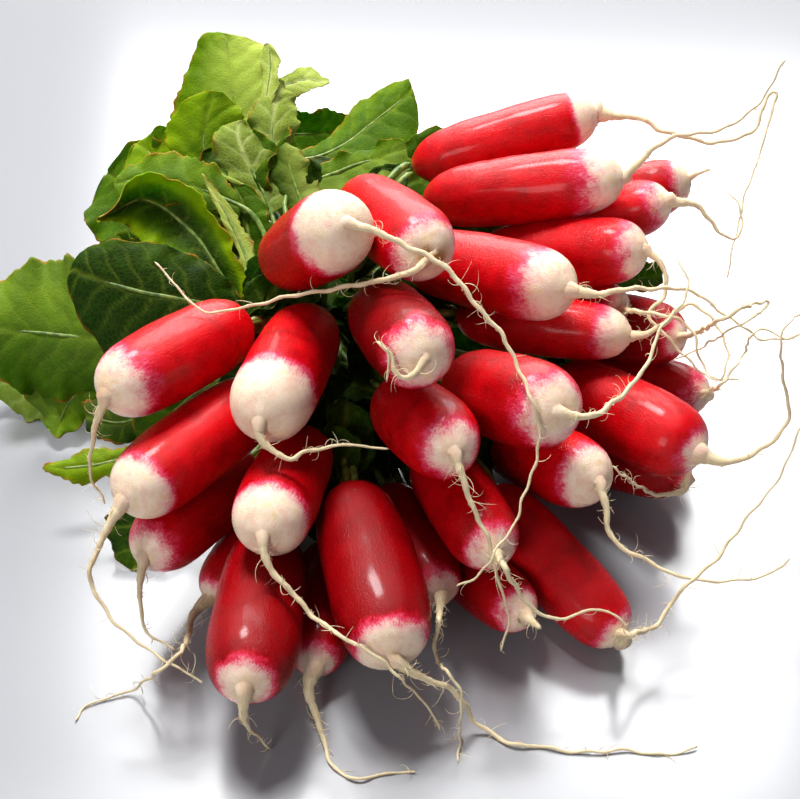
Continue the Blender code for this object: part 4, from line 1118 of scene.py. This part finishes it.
def young_leaves(name):
    rng = random.Random("young" + name)
    rings = rings_of(name)
    centers = np.array([r.mean(axis=0) for r in rings])
    body = [k for k, r in enumerate(rings) if len(r) > 6]
    axis = centers[body[-1]] - centers[0]
    axis = axis / np.linalg.norm(axis)
    crown = centers[0] - axis * 4.0 * MM
    home = BAND + band_axis * 8 * MM - crown
    home = home / np.linalg.norm(home)
    made = []
    for k in range(4):
        sideways = np.cross(axis, [rng.uniform(-1, 1) for _ in range(3)])
        sideways = sideways / np.linalg.norm(sideways)
        if crown @ UP > BAND @ UP - 5 * MM:
            sideways = sideways - UP * max(0.0, sideways @ UP) - OUT * max(0.0, sideways @ OUT)
        head = home * 0.85 - axis * 0.35 + sideways * 0.5
        head = head / np.linalg.norm(head)
        long = rng.uniform(18, 29) * MM
        end = crown + head * long + sideways * 4 * MM
        spine = bend(crown, crown - axis * 5 * MM, crown + head * long * 0.6, end, 9)
        rows = rows_along(spine, rng.uniform(7.0, 10.0), 0.3, rng.uniform(-0.7, 0.7))
        # painted shade in part: a tint from -0.25 to 0.08, darker than the other leaves, for the middle
        # of the bunch
        made.append(grow_blade("%s_young_%d" % (name, k), rows, "top", rng.uniform(-0.25, 0.08), 0.0,
                               1.4, (14, 22), 0.0))
    young = join_all(made)
    young.name = name + "_young_leaves"
    return young


young = {name: young_leaves(name) for name in radish_names}
print("young leaf faces:", sum(len(y.data.polygons) for y in young.values()))

# %% [markdown]
# ## The band
# The stalks are held by a rubber band wound three times. Each turn is a torus laid at the middle
# of the solid band and tipped a little, so that the turns cross as real ones do. Dust about 1 mm apart
# mottles the rubber.

# %% Wind the band
band_mat, tree, shader = new_material("natural rubber band")
place = node(tree, "ShaderNodeTexCoord").outputs["Object"]
dust = node(tree, "ShaderNodeTexNoise", {"Scale": 900.0, "Detail": 2.0}, {"Vector": place})
tree.links.new(ramp(tree, dust.outputs["Fac"], [(0.3, linear("#2c4a86")), (0.7, linear("#4468a8"))]),
               shader.inputs["Base Color"])
shader.inputs["Roughness"].default_value = 0.55
band_ring = np.array([v.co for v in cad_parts["tie"].data.vertices]) - BAND
band_radius = float(np.linalg.norm(band_ring, axis=1).max()) - 2 * 1.5 * MM
turns = []
for k, tip in enumerate((-5.0, 0.0, 6.0)):
    bpy.ops.object.select_all(action="DESELECT")
    bpy.ops.mesh.primitive_torus_add(major_radius=band_radius + 1.6 * MM, minor_radius=0.8 * MM,
                                     major_segments=64, minor_segments=12)
    ring = bpy.context.active_object
    quarter = Vector(band_axis).to_track_quat("Z", "Y").to_matrix()
    tilt = math.radians(tip)
    points = read_points(ring)
    points[:, 2] += points[:, 0] * math.tan(tilt) + (k - 1) * 1.1 * MM
    write_points(ring, points @ np.array(quarter).T + BAND)
    bpy.ops.object.shade_smooth()
    turns.append(ring)
band = join_all(turns)
band.name = "tie_turns"
band.data.materials.append(band_mat)
print("band radius, mm:", round(band_radius * 1000, 1))

# %% [markdown]
# ## Handing the pieces over
# Every new piece takes the place of its solid, which stays behind for the physics, and rides on the one
# body that the bunch is.

# %% Replace and ride
for name in radish_names:
    for piece, slot in ((radishes[name], "radish"), (stalks[name], "leaf"), (young[name], "leaf")):
        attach(piece, "root")
        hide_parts(name)
for leaf, stands_for in leaves:
    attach(leaf, "root")
    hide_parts(stands_for)
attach(band, "root")
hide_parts("tie")
print("pieces handed over:", 3 * len(radish_names) + len(leaves) + 1)

# %% [markdown]
# ## Table
# The table is a glossy board: it gives the eye soft shadows and a faint mirror image. Its own colour is
# a grey that the lights bring up to near white around the bunch. Far away it fades into the white of the
# room, so that low views end in a soft grey band and not in a hard line.

# %% Table
table_mat, tree, shader = new_material("white glossy board")
shader.inputs["Base Color"].default_value = linear("#8e8f92")
shader.inputs["Roughness"].default_value = 0.20
shader.inputs["IOR"].default_value = 1.9
on_board = node(tree, "ShaderNodeTexCoord").outputs["Object"]
from_middle = node(tree, "ShaderNodeVectorMath", {}, {0: on_board}, operation="LENGTH")
far_off = node(tree, "ShaderNodeMapRange", {"From Min": 0.30, "From Max": 1.8},
               {"Value": from_middle.outputs["Value"]}, interpolation_type="SMOOTHSTEP")
looked_at = node(tree, "ShaderNodeLightPath").outputs["Is Camera Ray"]
faded = node(tree, "ShaderNodeMath", {}, {0: far_off.outputs[0], 1: looked_at},
             operation="MULTIPLY")
glow = node(tree, "ShaderNodeEmission", {"Color": linear("#fcfcfd")})
fading = node(tree, "ShaderNodeMixShader", {}, {0: faded.outputs[0], 1: shader.outputs[0],
                                                2: glow.outputs[0]})
tree.links.new(fading.outputs[0], tree.nodes["Material Output"].inputs["Surface"])
bpy.ops.object.select_all(action="DESELECT")
bpy.ops.mesh.primitive_plane_add(size=8.0, location=(0.0, 0.0, 0.0))
table = bpy.context.active_object
table.name = "table"
table.data.materials.append(table_mat)
print("table, m:", round(table.dimensions.x, 1))

# %% [markdown]
# ## Light
# One soft light hangs above, a wider one stands behind, so that the shadows come forward, and a weak one
# in front fills them. The room itself is dim and only looks white.

# %% Lights
world = bpy.data.worlds.new("white room")
world.use_nodes = True
room = world.node_tree
dim = room.nodes["Background"]
dim.inputs["Color"].default_value = linear("#e8eeff")
dim.inputs["Strength"].default_value = 0.18
backdrop = node(room, "ShaderNodeBackground", {"Color": linear("#fcfcfd"), "Strength": 1.0})
seen = node(room, "ShaderNodeLightPath")
choose = node(room, "ShaderNodeMixShader", {}, {0: seen.outputs["Is Camera Ray"],
                                                1: dim.outputs[0], 2: backdrop.outputs[0]})
room.links.new(choose.outputs[0], room.nodes["World Output"].inputs["Surface"])
bpy.context.scene.world = world


def soft_light(name, place, target, size, power):
    lamp = bpy.data.lights.new(name, "AREA")
    lamp.size = size
    lamp.energy = power
    lit = bpy.data.objects.new(name, lamp)
    lit.location = place
    lit.rotation_euler = (Vector(target) - Vector(place)).to_track_quat("-Z", "Y").to_euler()
    bpy.context.scene.collection.objects.link(lit)


soft_light("overhead", (-0.22, 0.36, 1.28), (0.0, 0.0, 0.05), 0.36, 30.0)
soft_light("behind", (0.10, 1.25, 0.95), (0.0, 0.0, 0.03), 1.15, 37.0)
soft_light("front fill", (-0.6, -1.2, 0.6), (0.0, 0.0, 0.05), 0.5, 8.0)

# %% [markdown]
# ## Camera
# The camera stands at the sight point and looks straight at the face of the bunch.

# %% Camera
lens = bpy.data.cameras.new("camera")
lens.lens = 55.0
lens.sensor_width = 36.0
lens.clip_start = 0.01
camera = bpy.data.objects.new("camera", lens)
camera.location = sight(0.0, 0.0, EYE)
camera.rotation_euler = (math.pi / 2 - TILT, 0.0, 0.0)
bpy.context.scene.collection.objects.link(camera)
bpy.context.scene.camera = camera
bpy.context.scene.view_settings.view_transform = "Standard"
print("camera, mm above the table:", round(camera.location.z * 1000))
